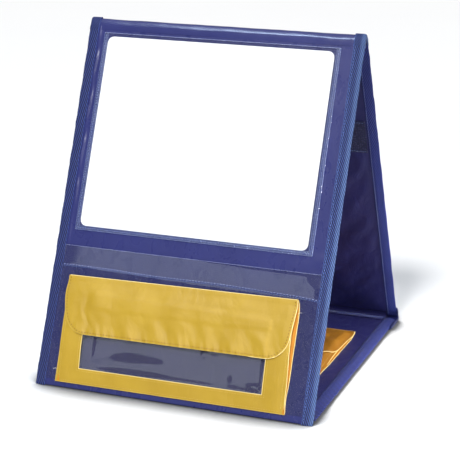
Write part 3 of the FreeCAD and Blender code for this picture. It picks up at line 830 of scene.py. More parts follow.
def RDG(L):
    """q < 0 on the front leg, then round the crest, then down the back leg; r is the distance out"""
    x, q, r = L[..., 0], L[..., 1], L[..., 2]
    a = ARC0 + np.clip(q, 0, QARC) / R0
    arc = np.stack([x, -np.cos(a) * r, ZR + np.sin(a) * r], -1)
    fr = FR(np.stack([x, np.clip(-q, 0, None), r], -1))
    bk = BK(np.stack([x, np.clip(q - QARC, 0, None), r], -1))
    return np.where((q < 0)[..., None], fr, np.where((q > QARC)[..., None], bk, arc))


RB = ("front", "back", (0, -.0040, ZR / 1000), (0, .0040, ZR / 1000))
nzr = waves(91, 55, 6)
nzr2 = waves(92, 18, 6)
xr = lines(-150.6, 150.6, 3.0)
qr = lines(-12.0, QARC + 12.0, .8)


ridge_leg = interp([(0, 2.35), (.8, 2.70), (1.8, 3.06), (2.8, 3.38), (3.8, 3.68), (4.8, 3.93), (6.0, 4.10), (8, 4.20), (12.0, 4.24)])


def ridge_top(x, q):
    t = np.maximum(np.maximum(-q, q - QARC), 0)
    u = np.clip(q / QARC, 0, 1)
    crest = .62 * np.sin(math.pi * u)
    return ridge_leg(t * (1 + .16 * np.clip(x / 110, -1, 1))) - crest + (.09 * nzr(x, q * 2) + .03 * nzr2(x, q)) * sstep(1 - t / 9)


v, f, l, e = slab(xr, qr, ridge_top, lambda x, q: ridge_top(x, q) - .03 - .30 * sstep(1 - np.maximum(np.maximum(-q, q - QARC), 0) / 12.5), RDG)
put(make("ridge_fold_vinyl", v, f, M_RIDGE, l, e, 60), RB, "ridge_band")


def corner_wrap(name, mapf, q0, q1, side, r0, blend, seed, step=.8, xo=0.0, drop=0.0):
    """binding tape carried round a fold: a ribbon with its outer edge turned in"""
    P = []
    for t in np.linspace(0, 1, 9):
        P.append((149.6 + 9.8 * t, r0 + .62))
    for a in np.linspace(90, 0, 6)[1:]:
        P.append((159.4 + 2.75 * math.cos(math.radians(a)), r0 + .62 - 2.6 + 2.6 * math.sin(math.radians(a))))
    for t in np.linspace(0, 1, 4)[1:]:
        P.append((162.15 - .25 * t, r0 + .62 - 2.6 - 1.9 * t))
    P = np.array(P)[::-1]
    ring, u, e = closed_tape(P, .40)
    S = lines(q0, q1, step)
    n1, n2 = waves(seed, 14, 7), waves(seed + 1, 6, 7)
    C = np.zeros((len(S), len(ring), 3))
    for i, q in enumerate(S):
        puff = .12 * n1(u, q) + .05 * n2(u, q)
        endk = sstep(min(q - q0, q1 - q) / 3.0)
        C[i, :, 0] = side * (ring[:, 0] + .1 * n2(q, 5) + xo * sstep((ring[:, 0] - 155) / 5))
        C[i, :, 1] = q
        C[i, :, 2] = ring[:, 1] + puff * .8 - .30 * (1 - endk) - drop * sstep((5.6 - max(-q, q - QARC, 0)) / 5.6)
    fine = 1.12 if side > 0 else 1.0
    L = np.stack([np.broadcast_to(-side * (u - u.mean()), C.shape[:2]) * fine, C[..., 1] * fine, np.abs(C[..., 0]) - 149.8], -1)
    V, F = rows_sheet(C)
    E = np.broadcast_to(e, C.shape[:2]).ravel()
    return put(make(name, mapf(V), F, M_TAPE_B if "rear" in name else M_LIT_TAPE_RIGHT if side > 0 else M_TAPE, L.reshape(-1, 3), E, 50), blend, ())


for side, nm in ((-1, "left"), (1, "right")):
    corner_wrap(f"ridge_tape_{nm}", RDG, -12.0, QARC + 12.0, side, 3.98, RB, 101 + side, drop=1.3)

# ---------------------------------------------------------------- the rear fold
RR0 = 4.6
AR0, AR1 = -math.pi / 2, math.radians(23.5)
QREAR = (AR1 - AR0) * RR0
SB0 = 408.55


def REAR(L):
    """q < 0 under the base, then round the rear edge, then up the back's outer face"""
    x, q, r = L[..., 0], L[..., 1], L[..., 2]
    a = AR0 + np.clip(q, 0, QREAR) / RR0
    k = np.clip(q / QREAR, 0, 1)
    # under the base the surface is 5 mm from the hinge line, on the back it is 4 mm
    rad = r + (1 - sstep(k)) * .63
    arc = np.stack([x, YB + np.cos(a) * rad, ZB + np.sin(a) * rad], -1)
    bs = np.stack([x, YB + np.clip(q, None, 0), ZB - (r + .63)], -1)
    bk = BK(np.stack([x, SB0 - np.clip(q - QREAR, 0, None), r], -1))
    return np.where((q < 0)[..., None], bs, np.where((q > QREAR)[..., None], bk, arc))


RE = ("base", "back", (0, YB / 1000, .0008), (0, (YB + 3.6) / 1000, .0066))
qq = lines(-12.0, QREAR + 12.0, .9)
nre = waves(95, 40, 6)


def rear_top(x, q):
    t = np.maximum(q - QREAR, 0)
    return 4.10 + .14 * sstep(1 - t / 12) + .05 * nre(x, q) * sstep(q / 4) * sstep(1 - t / 8)


v, f, l, e = slab(xr, qq, rear_top, lambda x, q: rear_top(x, q) - .16, REAR)
put(make("rear_fold_vinyl", v, f, M_COVER, l, e, 60), RE, "rear_fold_band")
for side, nm in ((-1, "left"), (1, "right")):
    corner_wrap(f"rear_tape_{nm}", REAR, -31.8, QREAR + 13.0, side, 3.75, RE, 111 + side, xo=1.9)

# inner hinge strip along the rear fold, sewn to the base lining and the back lining
def INNER(L):
    """q from 0 on the base, rising round the corner, then up the back's inner face; h stands off the surface"""
    x, q, h = L[..., 0], L[..., 1], L[..., 2]
    y0, n = 149.0, 10.2
    # path of the strip's middle in (y, z)
    pts = np.array([(149.0, 4.72), (155.0, 4.74), (159.2, 4.95), (161.2, 5.9), (161.6, 7.6), (160.6, 10.5), (158.9, 14.4)])
    Ls = np.r_[0, np.cumsum(np.linalg.norm(np.diff(pts, axis=0), axis=1))]
    fy, fz = interp(np.column_stack([Ls, pts[:, 0]])), interp(np.column_stack([Ls, pts[:, 1]]))
    y, z = fy(q), fz(q)
    ty, tz = fy(q + .2) - fy(q - .2), fz(q + .2) - fz(q - .2)
    m = np.maximum(np.hypot(ty, tz), 1e-9)
    return np.stack([x, y - tz / m * h, z + ty / m * h], -1)


v, f, l, e = slab(lines(-149.6, 149.6, 3.0), lines(0, 19.4, .7), lambda x, q: .28 + .05 * nre(x, q) + 0 * x, lambda x, q: 0 * x, INNER)
put(make("rear_inner_strip", v, f, M_LINING, l, e, 60), ("base", "back", (0, .1572, .0047), (0, .1612, .0085)), ())
q = np.linspace(-148, 148, 400)
parts = []
v, f, l, e = slab(lines(-149.0, 149.0, 3.0), lines(3.4, 10.6, .6), lambda x, q: .56 + .04 * nre(x, q) + 0 * x, lambda x, q: .26 + 0 * x, INNER)
put(make("rear_seam_ribbon", v, f, M_TAPE_B, l, e, 60), "base", ())
for off in (4.6, 9.4):
    line = INNER(np.stack([q, np.full_like(q, off), np.full_like(q, .54)], -1))
    parts.append(stitch_run(line, (0, 0, 1), 3.1, 2.2, .62, .34, .06, 5))
V, F, L, E = join_parts(parts)
put(make("rear_seam_stitches", V, F, M_THREAD_L, L, E), "base", ())

# ---------------------------------------------------------------- big clear pocket with its card
def plate_obj(name, mat, body, rep, slot, *args, angle=50, **kw):
    v, f, l, e = plate(*args, **kw)
    return put(make(name, v, f, mat, l, e, angle), body, rep)


def inset(x0, x1, y0, y1, r=0.0, step=2.5, corners=(1, 1, 1, 1)):
    return lambda d: rrect(x0 + d, x1 - d, y0 + d, y1 - d, max(r - d, 0), step, corners)


def outset(x0, x1, y0, y1, r=0.0, step=2.5, corners=(1, 1, 1, 1)):
    return lambda d: rrect(x0 - d, x1 + d, y0 - d, y1 + d, r + d if r > 0 else 0, step, corners)


cw = waves(131, 150, 5)
plate_obj("card_sheet", M_CARD, "card", "write_wipe_card", "white_card",
          inset(-136.0, 130.7, 19.2, 235.1, 7.0), [], 9.0,
          lambda x, s: 5.36 + .05 * cw(x, s), lambda x, s: 4.98 + .05 * cw(x, s), FR, r=.18, emin=.3)

DP = (-141.5, 137.0, 15.0, 240.0)
pw = waves(132, 70, 7)
v, f, l, e = slab(lines(DP[0] + .4, DP[1] - .4, 4.5, (.3, .8, 1.6)), lines(DP[2], DP[3] - .4, 4.5, (.3, .8, 1.6)),
                  lambda x, s: 5.86 + .10 * sstep(np.minimum(np.minimum(x - DP[0], DP[1] - x), DP[3] - s) / 14) * (1 + pw(x, s) * .7),
                  lambda x, s: 5.60 + .10 * sstep(np.minimum(np.minimum(x - DP[0], DP[1] - x), DP[3] - s) / 14) * (1 + pw(x, s) * .7), FR, r=.3)
put(make("display_pocket_film", v, f, M_FILM, l, e, 50), "front", "display_pocket")


def rim_height(d, k=1.0):
    """welded hem: two low ridges with a groove between them"""
    return k * 1.15 * np.sqrt(np.clip(1 - np.clip((d - 2.5) / 2.5, -1, 1) ** 2, 0.02, 1)) ** .6 - k * .30 * gauss((d - 1.5) / .5) - k * .30 * gauss((d - 3.5) / .5)


def u_rim(name, x0, x1, y0, y1, wd, w0, body, hk=1.0):
    """hem round three sides (left, bottom, right) as a mitred strip"""
    k = np.linspace(0, wd, 15)
    path = []
    for y in lines(y0, y1, 3.0):
        path.append((x0, y, 1, 0, 0))
    corner = [(x0, y1, 1, -1)]
    ring = []
    def at(side, t, d):
        return None
    rows = []
    for y in lines(y0, y1 - wd * 0, 3.0)[:-1]:
        rows.append([(x0 + d, min(y, y1 - d)) for d in k])
    for x in lines(x0, x1, 3.0)[:]:
        rows.append([(min(max(x, x0 + d), x1 - d), y1 - d) for d in k])
    for y in lines(y0, y1, 3.0)[::-1][1:]:
        rows.append([(x1 - d, min(y, y1 - d)) for d in k])
    A = np.array(rows)
    n, m = A.shape[:2]
    H = w0 + rim_height(k, hk)
    nz = waves(140, 30, 6)
    top = np.concatenate([A, np.broadcast_to(H, (n, m))[..., None]], -1)
    top[..., 2] += .06 * nz(A[..., 0], A[..., 1])
    bot = np.concatenate([A, np.full((n, m, 1), w0 - .02)], -1)
    C = np.concatenate([top, bot[:, ::-1]], 1)
    V, F = rows_sheet(C)
    return FR(V), F, V, np.minimum(np.r_[k, k[::-1]], wd - np.r_[k, k[::-1]])[None].repeat(n, 0).ravel()


v, f, l, e = u_rim("rim", DP[0], DP[1], DP[2], DP[3], 5.0, 4.75, "front")
put(make("display_pocket_hem", v, f, M_RIM, l, e, 60), "front", ())
# spacer under the hem, so that the film stands off the cover
v, f, l, e = u_rim("rim", DP[0] + .3, DP[1] - .3, DP[2], DP[3] - .3, 4.4, 3.9, "front", .62)
put(make("display_pocket_weld", v, f, M_WELD, l, e, 60), "front", ())


def fline(x0, s0, x1, s1, w, n=200):
    t = np.linspace(0, 1, n)
    return FR(np.stack([x0 + (x1 - x0) * t, s0 + (s1 - s0) * t, np.full_like(t, w)], -1))


NF = (0, -CS, SN)
parts = []
for off in (2.4,):
    parts += [stitch_run(fline(DP[0] + off, DP[2] + 2, DP[0] + off, DP[3] - off, 5.42), NF, 3.0, 2.0, .42, .3, .05, 7),
              stitch_run(fline(DP[0] + off, DP[3] - off, DP[1] - off, DP[3] - off, 5.42), NF, 3.0, 2.0, .42, .3, .05, 8),
              stitch_run(fline(DP[1] - off, DP[2] + 2, DP[1] - off, DP[3] - off, 5.42), NF, 3.0, 2.0, .42, .3, .05, 9)]
V, F, L, E = join_parts(parts)
put(make("display_pocket_stitches", V, F, M_THREAD_P, L, E), "front", ())
# rolled free edge along the pocket's open top
t = np.linspace(DP[0] + .6, DP[1] - .6, 120)
v, f = tube(FR(np.stack([t, np.full_like(t, DP[2] + .3), 5.75 + .08 * pw(t, 15.)], -1)), .38, 8)
put(make("display_pocket_lip", v, f, M_LIP, v, np.zeros(len(v))), "front", ())

# ---------------------------------------------------------------- strip pocket and the sheet below it
SP0, SPS, SP1 = 258.2, 285.2, 406.5
sw = waves(151, 90, 6)
sw2 = waves(152, 34, 6)


seam_s = interp([(-151, 279.8), (-90, 279.8), (-45, 281.2), (35, 280.9), (96, 282.6), (130, 283.7), (151, 285.4)])
low_s = interp([(-151, 281.0), (-120, 281.8), (0, 285.0), (151, 286.8)])


def strip_w(x, s):
    up = np.clip((low_s(x) - s) / 27.0, 0, 1)
    edge = sstep((150.5 - np.abs(x)) / 4)
    w = 4.36 + (2.03 * up + .006 * up * sw(x, s)) * edge
    w = w + .007 * sw2(x, s) * sstep((s - SPS - 3) / 8) * edge
    w = w - .05 * gauss((s - seam_s(x)) / .8)
    # the right end is drawn back to the tape
    d = s - SP0
    w = w - 1.25 * up * sstep((x - 132.5 - .30 * d - .035 * d * d) / 17)
    return np.maximum(w, 4.33)


xsp = lines(-150.4, 150.4, 4.0, fine=[-147, -144, -141, 141, 144, 147, 138, 135, 132, 129])
ssp = lines(SP0, SP1, 4.0, (.3,), fine=[260, 262, 264, 268, 272, 276, 278, 279, 280, 281, 282, 283, 284, 284.6, 285.2, 286, 287, 288.5])
v, f, l, e = slab(xsp, ssp, lambda x, s: strip_w(x, s) + .09, lambda x, s: strip_w(x, s) - .09, FRF)
put(make("strip_pocket_film", v, f, M_STRIP, l, e, 50), "front", "strip_pocket")
for nm, off, h, mt, ln, pitch in (("strip_stitches_dark", 1.5, .12, M_THREAD_B, 2.0, 3.0), ("strip_stitches_pale", 0.0, .16, M_THREAD_L, 2.0, 3.6)):
    xx = np.linspace(-149.4, 149.4, 400)
    line = FR(np.stack([xx, seam_s(xx) + off, strip_w(xx, seam_s(xx) + off) + h], -1))
    V, F, L, E = stitch_run(line, NF, pitch, ln, .58 if off == 0 else .45, .3, .03, 13)
    put(make(nm, V, F, mt, L, E), "front", ())
t = np.linspace(-149.6, 149.6, 150)
v, f = tube(FR(np.stack([t, np.full_like(t, SP0 + .1), strip_w(t, np.full_like(t, SP0)) + .05], -1)), .26, 8)
put(make("strip_pocket_lip", v, f, M_LIP, v, np.zeros(len(v))), "front", ())


# ---------------------------------------------------------------- pouches
def build_pouch(pre, mapf, length, flap_len, heights, body, flap_body, blend_pts, seed, tilt, rest_on, win_t, mats, dents, gap_low, sq, fall):
    """t runs from the top fold to the sewn lower edge, w is the height above the panel's inner face"""
    hf = interp(heights)
    W0 = 4.46
    MAIN, SHADED_PLEAT_MAT = mats
    sc = length / 119.5

    def M(L):
        x, t, w = L[..., 0], L[..., 1], L[..., 2]
        sh = -(x - XM) / 134.0 * (tilt[0] + (tilt[1] - tilt[0]) * t / length)
        return mapf(np.stack([x, t + sh, w], -1))

    n1, n2, n3 = waves(seed, 38, 7), waves(seed + 1, 15, 7), waves(seed + 2, 85, 6)
    # how the cut pieces run out of square: offsets of the left and right edges against t
    seam_r = interp([(0, -1.2), (10 * sc, .5), (34 * sc, .7), (60 * sc, .4), (88 * sc, .2), (104 * sc, -.7), (119.5 * sc, .1)])
    sheet_r = interp([(0, -1.9 * sq), (35 * sc, -1.9 * sq), (53 * sc, -1.4 * sq), (86 * sc, 0.0), (104 * sc, -.1), (119.5 * sc, .4)])
    flap_r = interp([(0, -1.8 * sq), (10, -1.5 * sq), (22, -2.4 * sq), (35, -3.6 * sq), (flap_len, -3.8 * sq)])
    flap_l = interp([(0, .1), (9, -.5), (18, -1.1), (26, -.5), (36, 1.2), (46, 2.8), (flap_len, 3.0)])

    def side_k(x):
        """1 in the middle, 0 at the side edges"""
        return sstep(np.minimum(x - PX0, PX1 - x) / 12.0)

    def front_h(x, t):
        k = side_k(x)
        h = hf(t) - fall * (1 - k) * sstep(t / 12) + .42 * gauss((x - PX0 - 13 + .05 * t) / 2.6) * sstep((t - 40) / 12) * sstep((length - t) / 14)
        endk = sstep((length - t) / 12) * sstep((t - 1) / 12)
        return h + endk * (.16 * n1(x, t) + .05 * n2(x, t) + .14 * n3(x, t)) * (.4 + .6 * k)

    # back sheet: dark inside, yellow where it shows round the edge
    back = slab(lines(PX0 + .6, PX1 - 1.2, 5, (.3, 1, 2)), lines(3.0, length - .5, 5, (.3, 1, 2)),
                lambda x, t: W0 + .34 + 0 * x, lambda x, t: W0 + 0 * x, M, r=.3)
    v, f, l, e = back
    put(make(pre + "_pouch_back_sheet", v, f, M_POUCHBACK, l, e, 50), body, pre + "_pouch_back")
    # yellow seam allowance, sides and bottom
    rows = []
    k = np.linspace(0, 6.5, 6)
    x0, x1, y0, y1 = PX0, PX1, 1.2, length
    for y in lines(y0, y1, 4.0)[:-1]:
        rows.append([(x0 + d, min(y, y1 - d)) for d in k])
    for x in lines(x0, x1, 4.0):
        rows.append([(min(max(x, x0 + d), x1 - d), y1 - d) for d in k])
    for y in lines(y0, y1, 4.0)[::-1][1:]:
        rows.append([(x1 - d, min(y, y1 - d)) for d in k])
    A = np.array(rows)
    A[..., 0] += np.where(A[..., 0] > PX1 - 12, seam_r(A[..., 1]), 0)
    n, m = A.shape[:2]
    nzw = waves(seed + 5, 26, 6)
    lip = .12 * nzw(A[..., 0], A[..., 1])
    top = np.concatenate([A, (W0 + .86 + np.maximum(lip, -.2) * .5)[..., None]], -1)
    bot = np.concatenate([A, np.full((n, m, 1), W0 + .38)], -1)
    C = np.concatenate([top, bot[:, ::-1]], 1)
    V, F = rows_sheet(C)
    kk = np.r_[k, k[::-1]]
    o = put(make(pre + "_pouch_seam_edge", M(V), F, MAIN, V, np.broadcast_to(kk, (n, 2 * m)).ravel(), 50), body, ())

    # front sheet with its window opening
    wx0, wx1, wt0, wt1 = win_t
    out = inset(PX0 + 1.2, PX1 - 1.5, 2.2, length - .3, 0, 2.5)
    hole = outset(wx0, wx1, wt0, wt1, 2.2, 2.5, (1, 1, .35, .35))

    def sheet_warp(P):
        Q = P.copy()
        Q[:, 0] += sheet_r(P[:, 1]) * sstep((P[:, 0] - wx1 - 4) / (PX1 - wx1 - 6))
        return Q

    def f_top(x, t):
        hem = .16 * gauss((np.maximum(np.maximum(wx0 - x, x - wx1), np.maximum(wt0 - t, t - wt1)) - 1.8) / 1.6)
        crease = -.12 * gauss((np.maximum(np.maximum(wx0 - x, x - wx1), np.maximum(wt0 - t, t - wt1)) - 4.6) / .9)
        return front_h(x, t) + hem + crease

    o = plate_obj(pre + "_pouch_front_sheet", MAIN, body, pre + "_pouch_front", "yellow_fabric",
                  out, [hole], 3.4, f_top, lambda x, t: front_h(x, t) - .5, M, r=.3, emin=.35, warp=sheet_warp)

    # window film, slack behind the opening
    d1, d2 = waves(seed + 7, 95, 6), waves(seed + 8, 60, 6, .3, 1.2)

    def win_h(x, t):
        k = sstep(np.minimum(np.minimum(x - wx0, wx1 - x), np.minimum(t - wt0, wt1 - t)) / 7)
        h = hf(t) - .62 - k * (.50 + .10 * d1(x, t * 1.6) + .05 * d2(x, t))
        for (dx, dt, rx, rt, dep) in dents:
            h = h - k * dep * gauss(np.sqrt(((x - dx) / rx) ** 2 + ((t - dt) / rt) ** 2))
        return h
    v, f, l, e = slab(lines(wx0 - 5, wx1 + 5, 1.6), lines(wt0 - 5, wt1 + 5, 1.6), win_h, lambda x, t: win_h(x, t) - .22, M)
    put(make(pre + "_pouch_window_film", v, f, M_WINDOW, l, e, 50), body, pre + "_pouch_window")
    # stitch lines round the window, near the lower edge and sides
    parts = []
    NN = M(np.array([[0., 50., 1.]])) - M(np.array([[0., 50., 0.]]))

    def run(x0, t0, x1, t1, fn, k):
        q = np.linspace(0, 1, 240)
        X, T = x0 + (x1 - x0) * q, t0 + (t1 - t0) * q
        return stitch_run(M(np.stack([X, T, fn(X, T)], -1)), NN, 2.9, 2.0, .42, .3, .03, k)
    a = 2.6
    parts += [run(wx0 - a, wt0 + 4, wx0 - a, wt1 + a, f_top, 1), run(wx0 - a, wt1 + a, wx1 + a, wt1 + a, f_top, 2), run(wx1 + a, wt0 + 4, wx1 + a, wt1 + a, f_top, 3),
              run(PX0 + 6, length - 2.6, PX1 - 6, length - 2.6, front_h, 4), run(PX0 + 4.4, 40, PX0 + 4.4, length - 4, front_h, 5), run(PX1 - 5.2, 40, PX1 - 5.2, length - 4, front_h, 6)]
    V, F, L, E = join_parts(parts)
    put(make(pre + "_pouch_stitches", V, F, M_THREAD_Y, L, E), body, ())

    # turned edges: rolled rims along the window opening's left, lower and right sides, the front sheet's right edge
    # and the seam's right edge, in paler yellow as a painted highlight where light catches them
    def bead(P2, hfun, r, off=0.0):
        P2 = np.asarray(P2, float)
        return tube(M(np.column_stack([P2, hfun(P2[:, 0], P2[:, 1]) + off])), r, 6)
    eparts = []
    q = np.linspace(0, 1, 90)[:, None]
    for (p0, p1) in (((wx0, wt0 + 3), (wx0, wt1)), ((wx0, wt1 + .1), (wx1, wt1 + .1)), ((wx1, wt1), (wx1, wt0 + 3))):
        v, f = bead(np.array(p0) * (1 - q) + np.array(p1) * q, front_h, .36, -.12)
        eparts.append((v, f, v, np.zeros(len(v))))
    tt = np.linspace(3, length - 1, 120)
    P2 = np.column_stack([PX1 - 1.6 + sheet_r(tt), tt])
    v, f = bead(P2, front_h, .38, -.24)
    eparts.append((v, f, v, np.zeros(len(v))))
    P2 = np.column_stack([PX1 - .15 + seam_r(tt), tt])
    v, f = tube(M(np.column_stack([P2, np.full(len(P2), W0 + .66)])), .36, 6)
    eparts.append((v, f, v, np.zeros(len(v))))
    V, F, L, E = join_parts(eparts)
    put(make(pre + "_pouch_edge_beads_painted_highlight", V, F, M_EDGE_HIGHLIGHT, L, E, 60), body, ())

    # pleated gussets on both sides
    gparts = []
    T = lines(2.4, length - .8, 2.4)
    for side in (-1, 1):
        gn = waves(seed + 12 + side, 22, 6)
        C = []
        for t in T:
            xe_b = PX1 - .5 + float(seam_r(t)) if side > 0 else PX0 + 2.6
            xe_f = PX1 - 1.9 + float(sheet_r(t)) if side > 0 else PX0 + 3.2
            hi = float(front_h(np.array([xe_f]), np.array([t]))[0]) - .55
            lo = W0 + .90
            hgt = max(hi - lo, .12)
            dep = min(11.0, 1.6 + 1.5 * hgt) * (1 + .12 * float(gn(t, 3)))
            # profile of the V pleat: from the back edge in to the valley and out to the front edge
            prof = []
            for q in np.linspace(0, 1, 15):
                z = lo + hgt * q
                inn = dep * (1 - abs(2 * q - 1) ** 1.25)
                xe = xe_b + (xe_f - xe_b) * q
                prof.append((xe - side * inn, z + .10 * float(gn(t, q * 9)) * math.sin(math.pi * q)))
            prof = np.array(prof)
            Tg = np.gradient(prof, axis=0)
            Tg /= np.linalg.norm(Tg, axis=1)[:, None]
            Nn = np.column_stack([Tg[:, 1], -Tg[:, 0]]) * side
            th = min(.30, hgt * .35)
            ring = np.concatenate([prof, (prof - Nn * th)[::-1]])
            C.append(np.column_stack([ring[:, 0], np.full(len(ring), t), ring[:, 1]]))
        C = np.array(C)
        V, F = rows_sheet(C)
        gparts.append((M(V), F, V, np.tile(np.r_[np.minimum(np.arange(15), 14 - np.arange(15)), np.minimum(np.arange(15), 14 - np.arange(15))[::-1]] * 1.0, len(T))))
    V, F, L, E = join_parts(gparts)
    # the pleat takes the darker orange copy of the yellow nylon: painted shade
    put(make(pre + "_pouch_gusset_pleat", V, F, SHADED_PLEAT_MAT, L, E, 60), body, pre + "_pouch_gusset")

    # loop strip on the front sheet, hook strip under the flap
    v, f, l, e = slab(lines(-96, 82, 2.0), lines(22.5, 36, 1.6), lambda x, t: front_h(x, t) + .42 + 0 * x, lambda x, t: front_h(x, t) + .02, M, r=.4)
    put(make(pre + "_pouch_loop_pile", v, f, M_LOOP, l, e, 50), body, pre + "_pouch_loop_strip")
    v, f, l, e = slab(lines(-95.4, 81.4, 2.0), lines(23, 35.5, 1.6), lambda x, t: front_h(x, t) + .84 + 0 * x, lambda x, t: front_h(x, t) + .46, M, r=.3)
    put(make(pre + "_flap_hook_pile", v, f, M_HOOK, l, e, 50), flap_body, pre + "_flap_hook_strip")

    # flap: one sheet from the back of the fold, over it and down the front
    f1, f2, f3 = waves(seed + 20, 40, 7, 0.0, .5), waves(seed + 21, 7.5, 5, 0.0, .5), waves(seed + 22, 24, 7, -.35, .9)
    fw = waves(seed + 23, 90, 5)
    crease_x = interp([(0, -109), (24, -110.2), (35, -112.7), (55, -103.4), (90, -96)])

    def strip_print(x, t):
        """the closure strips press through the flap: a raised band with a step below it"""
        kx = sstep((x + 109) / 8) * (1 - .85 * sstep((x - 103) / 3.4))
        line = t - .035 * (x - 20)
        up = sstep((line - 17.5) / 5.0)
        down = 1 - .62 * sstep((t - 33.6) / 2.6)
        edge = .22 * gauss((line - 24.5) / 2.4) * sstep((x - 25) / 40) * sstep((105 - x) / 4)
        rib = .26 * gauss((x - 101.5) / 2.4) * sstep((t - 24) / 5) * sstep((56 - t) / 8)
        return (1.02 * up * down) * kx + edge + rib

    def flap_gap(x, t):
        d = flap_len - t
        low = sstep((t - 32) / 16)
        puck = .55 * f2(x - .25 * t, t) * np.exp(-np.maximum(d, 0) / 6.0) * sstep((t - 20) / 12)
        soft = (.26 * f1(x, t) + .42 * low * f3(x, t)) * sstep((t - 3) / 14)
        groove = -1.0 * gauss((x - crease_x(t)) / 2.3) * sstep((t - 18) / 7) * sstep((flap_len - 5 - t) / 7)
        lift = gap_low * sstep((t - (flap_len - 15)) / 13)
        side_drop = -.35 * (1 - side_k(x))
        strip = .98 * sstep((x + 103) / 6) * sstep((89 - x) / 6) * sstep((t - 18.5) / 3.5) * sstep((40.5 - t) / 3.5)
        g = .50 + strip_print(x, t) + soft + puck + groove + side_drop + lift + .10 * fw(x, t)
        return np.maximum(np.maximum(g, .24), strip)

    def flap_in(x, t):
        return front_h(x, np.clip(t, 2.5, None)) + flap_gap(x, t)

    # profile of the fold in (t, w): q runs along the cloth, q = 0 at the outermost point of the fold
    top_w = float(hf(np.array([3.0]))[0]) + .9
    lo_w = W0 + 1.0
    mid_w, rad = (top_w + lo_w) / 2, (top_w - lo_w) / 2
    q1 = math.pi / 2 * rad

    def FP(L):
        x, q, h = L[..., 0], L[..., 1], L[..., 2]
        a = np.clip(q / rad, -math.pi / 2, math.pi / 2)
        tt = rad - rad * np.cos(a) - .2
        ww = mid_w + rad * np.sin(a)
        ct, cw_ = -np.cos(a), np.sin(a)
        # beyond the turn
        over = np.clip(q - q1, 0, None)
        under = np.clip(-q1 - q, 0, None)
        t = tt + over + under
        k = sstep((t - (rad - .2)) / 5)
        base = flap_in(x, np.maximum(t, 2.5))
        w_front = (top_w - .0) * (1 - k) + base * k
        w = np.where(q > q1, w_front, ww)
        w = np.where(q < -q1, lo_w, w)
        nt = np.where(q > q1, 0, np.where(q < -q1, 0, ct))
        nw = np.where(q > q1, 1, np.where(q < -q1, -1, cw_))
        return M(np.stack([x, t + nt * h, w + nw * h], -1))

    q_end = q1 + flap_len - rad
    rc = 27.0

    def flap_out(d):
        p = rrect(PX0 - .2 + d, PX1 + .3 - d, -q1 - 3.0 + d, q_end - d, max(rc - d, 0.1), 1.8, (0, 0, 1, 1))
        return p

    def flap_warp(P):
        Q = P.copy()
        t = np.clip(P[:, 1] - q1 + rad, 0, flap_len)
        Q[:, 0] += flap_r(t) * np.clip((P[:, 0] - XM) / (PX1 - XM), 0, 1) ** 2 + flap_l(t) * np.clip((XM - P[:, 0]) / (XM - PX0), 0, 1) ** 2
        return Q

    def ft(x, q):
        hem = .18 * gauss((np.minimum(np.minimum(x - PX0 - 1, PX1 - 3 - x), q_end - q) - 1.8) / 1.6)
        return .50 + np.where(q > 6, hem, 0)
    v, f, l, e = plate(flap_out, [], 2.4, ft, lambda x, q: 0 * x, FP, r=.28, emin=.35, warp=flap_warp)
    o = make(pre + "_pouch_flap_sheet", v, f, MAIN, l, e, 50)
    put(o, (body, flap_body) + blend_pts, pre + "_pouch_flap")

    def u_line(ins):
        """open line along the flap's free edge, ins mm inside it: down the right, round the bottom, up the left"""
        lp = rrect(PX0 - .2 + ins, PX1 + .3 - ins, 2.0, q_end - ins, rc - ins, 1.2, (0, 0, 1, 1))
        i0 = int(np.argmax((lp[:, 0] > PX1 - ins) & (lp[:, 1] < 3)))
        lp = np.roll(lp, -i0, 0)
        j = int(np.where((lp[:, 0] < PX0 + ins + .4) & (lp[:, 1] < 3.4))[0].max())
        return flap_warp(lp[:j + 1])
    lp = u_line(2.6)
    P = FP(np.column_stack([lp, ft(lp[:, 0], lp[:, 1])]))
    N = FP(np.column_stack([lp, ft(lp[:, 0], lp[:, 1]) + 1])) - P
    V, F, L, E = stitch_run(P, N, 3.4, 1.6, .85, .30, .04, 3)
    put(make(pre + "_flap_stitches", V, F, M_THREAD_O, L, E), flap_body, ())
    # rolled rim of the turned hem in paler yellow, a painted highlight laid only along the right side and the lower
    # right corner, where the light falls
    lp = u_line(.12)
    lp = lp[:int(np.argmax(lp[:, 0] < 84))]
    v, f = tube(FP(np.column_stack([lp, np.full(len(lp), .30)])), .40, 7)
    put(make(pre + "_flap_edge_bead_painted_highlight", v, f, M_EDGE_HIGHLIGHT, v, np.zeros(len(v)), 60), flap_body, ())
    # crown of the top fold in paler yellow: a painted highlight
    xx = np.linspace(PX0 + 1.2, PX1 - 2.6, 160)
    v, f = tube(FP(np.column_stack([xx, np.full(160, q1 * .45), np.full(160, .30)])), .42, 7)
    put(make(pre + "_flap_fold_crown_painted_highlight", v, f, M_EDGE_HIGHLIGHT, v, np.zeros(len(v)), 60), (body, flap_body) + blend_pts, ())
    return FP, M, front_h


H_FRONT = [(0, 6.7), (6, 7.6), (14, 8.9), (28, 10.0), (45, 10.6), (62, 10.3), (80, 9.2), (98, 7.5), (110, 6.3), (119.5, 5.55)]
H_BASE = [(0, 6.6), (6, 7.4), (16, 8.6), (34, 9.6), (56, 10.3), (80, 10.0), (104, 8.6), (126, 6.9), (138, 6.0), (148, 5.45)]


def FMAP(L):
    return FR(np.stack([L[..., 0], L[..., 1] + 289.5, L[..., 2]], -1))


def BMAP(L):
    return np.stack([L[..., 0], 90.0 - L[..., 1], L[..., 2] + .2], -1)


def pt(mapf, t, w):
    p = mapf(np.array([[0., t, w]]))[0] / 1000
    return tuple(float(c) for c in p)


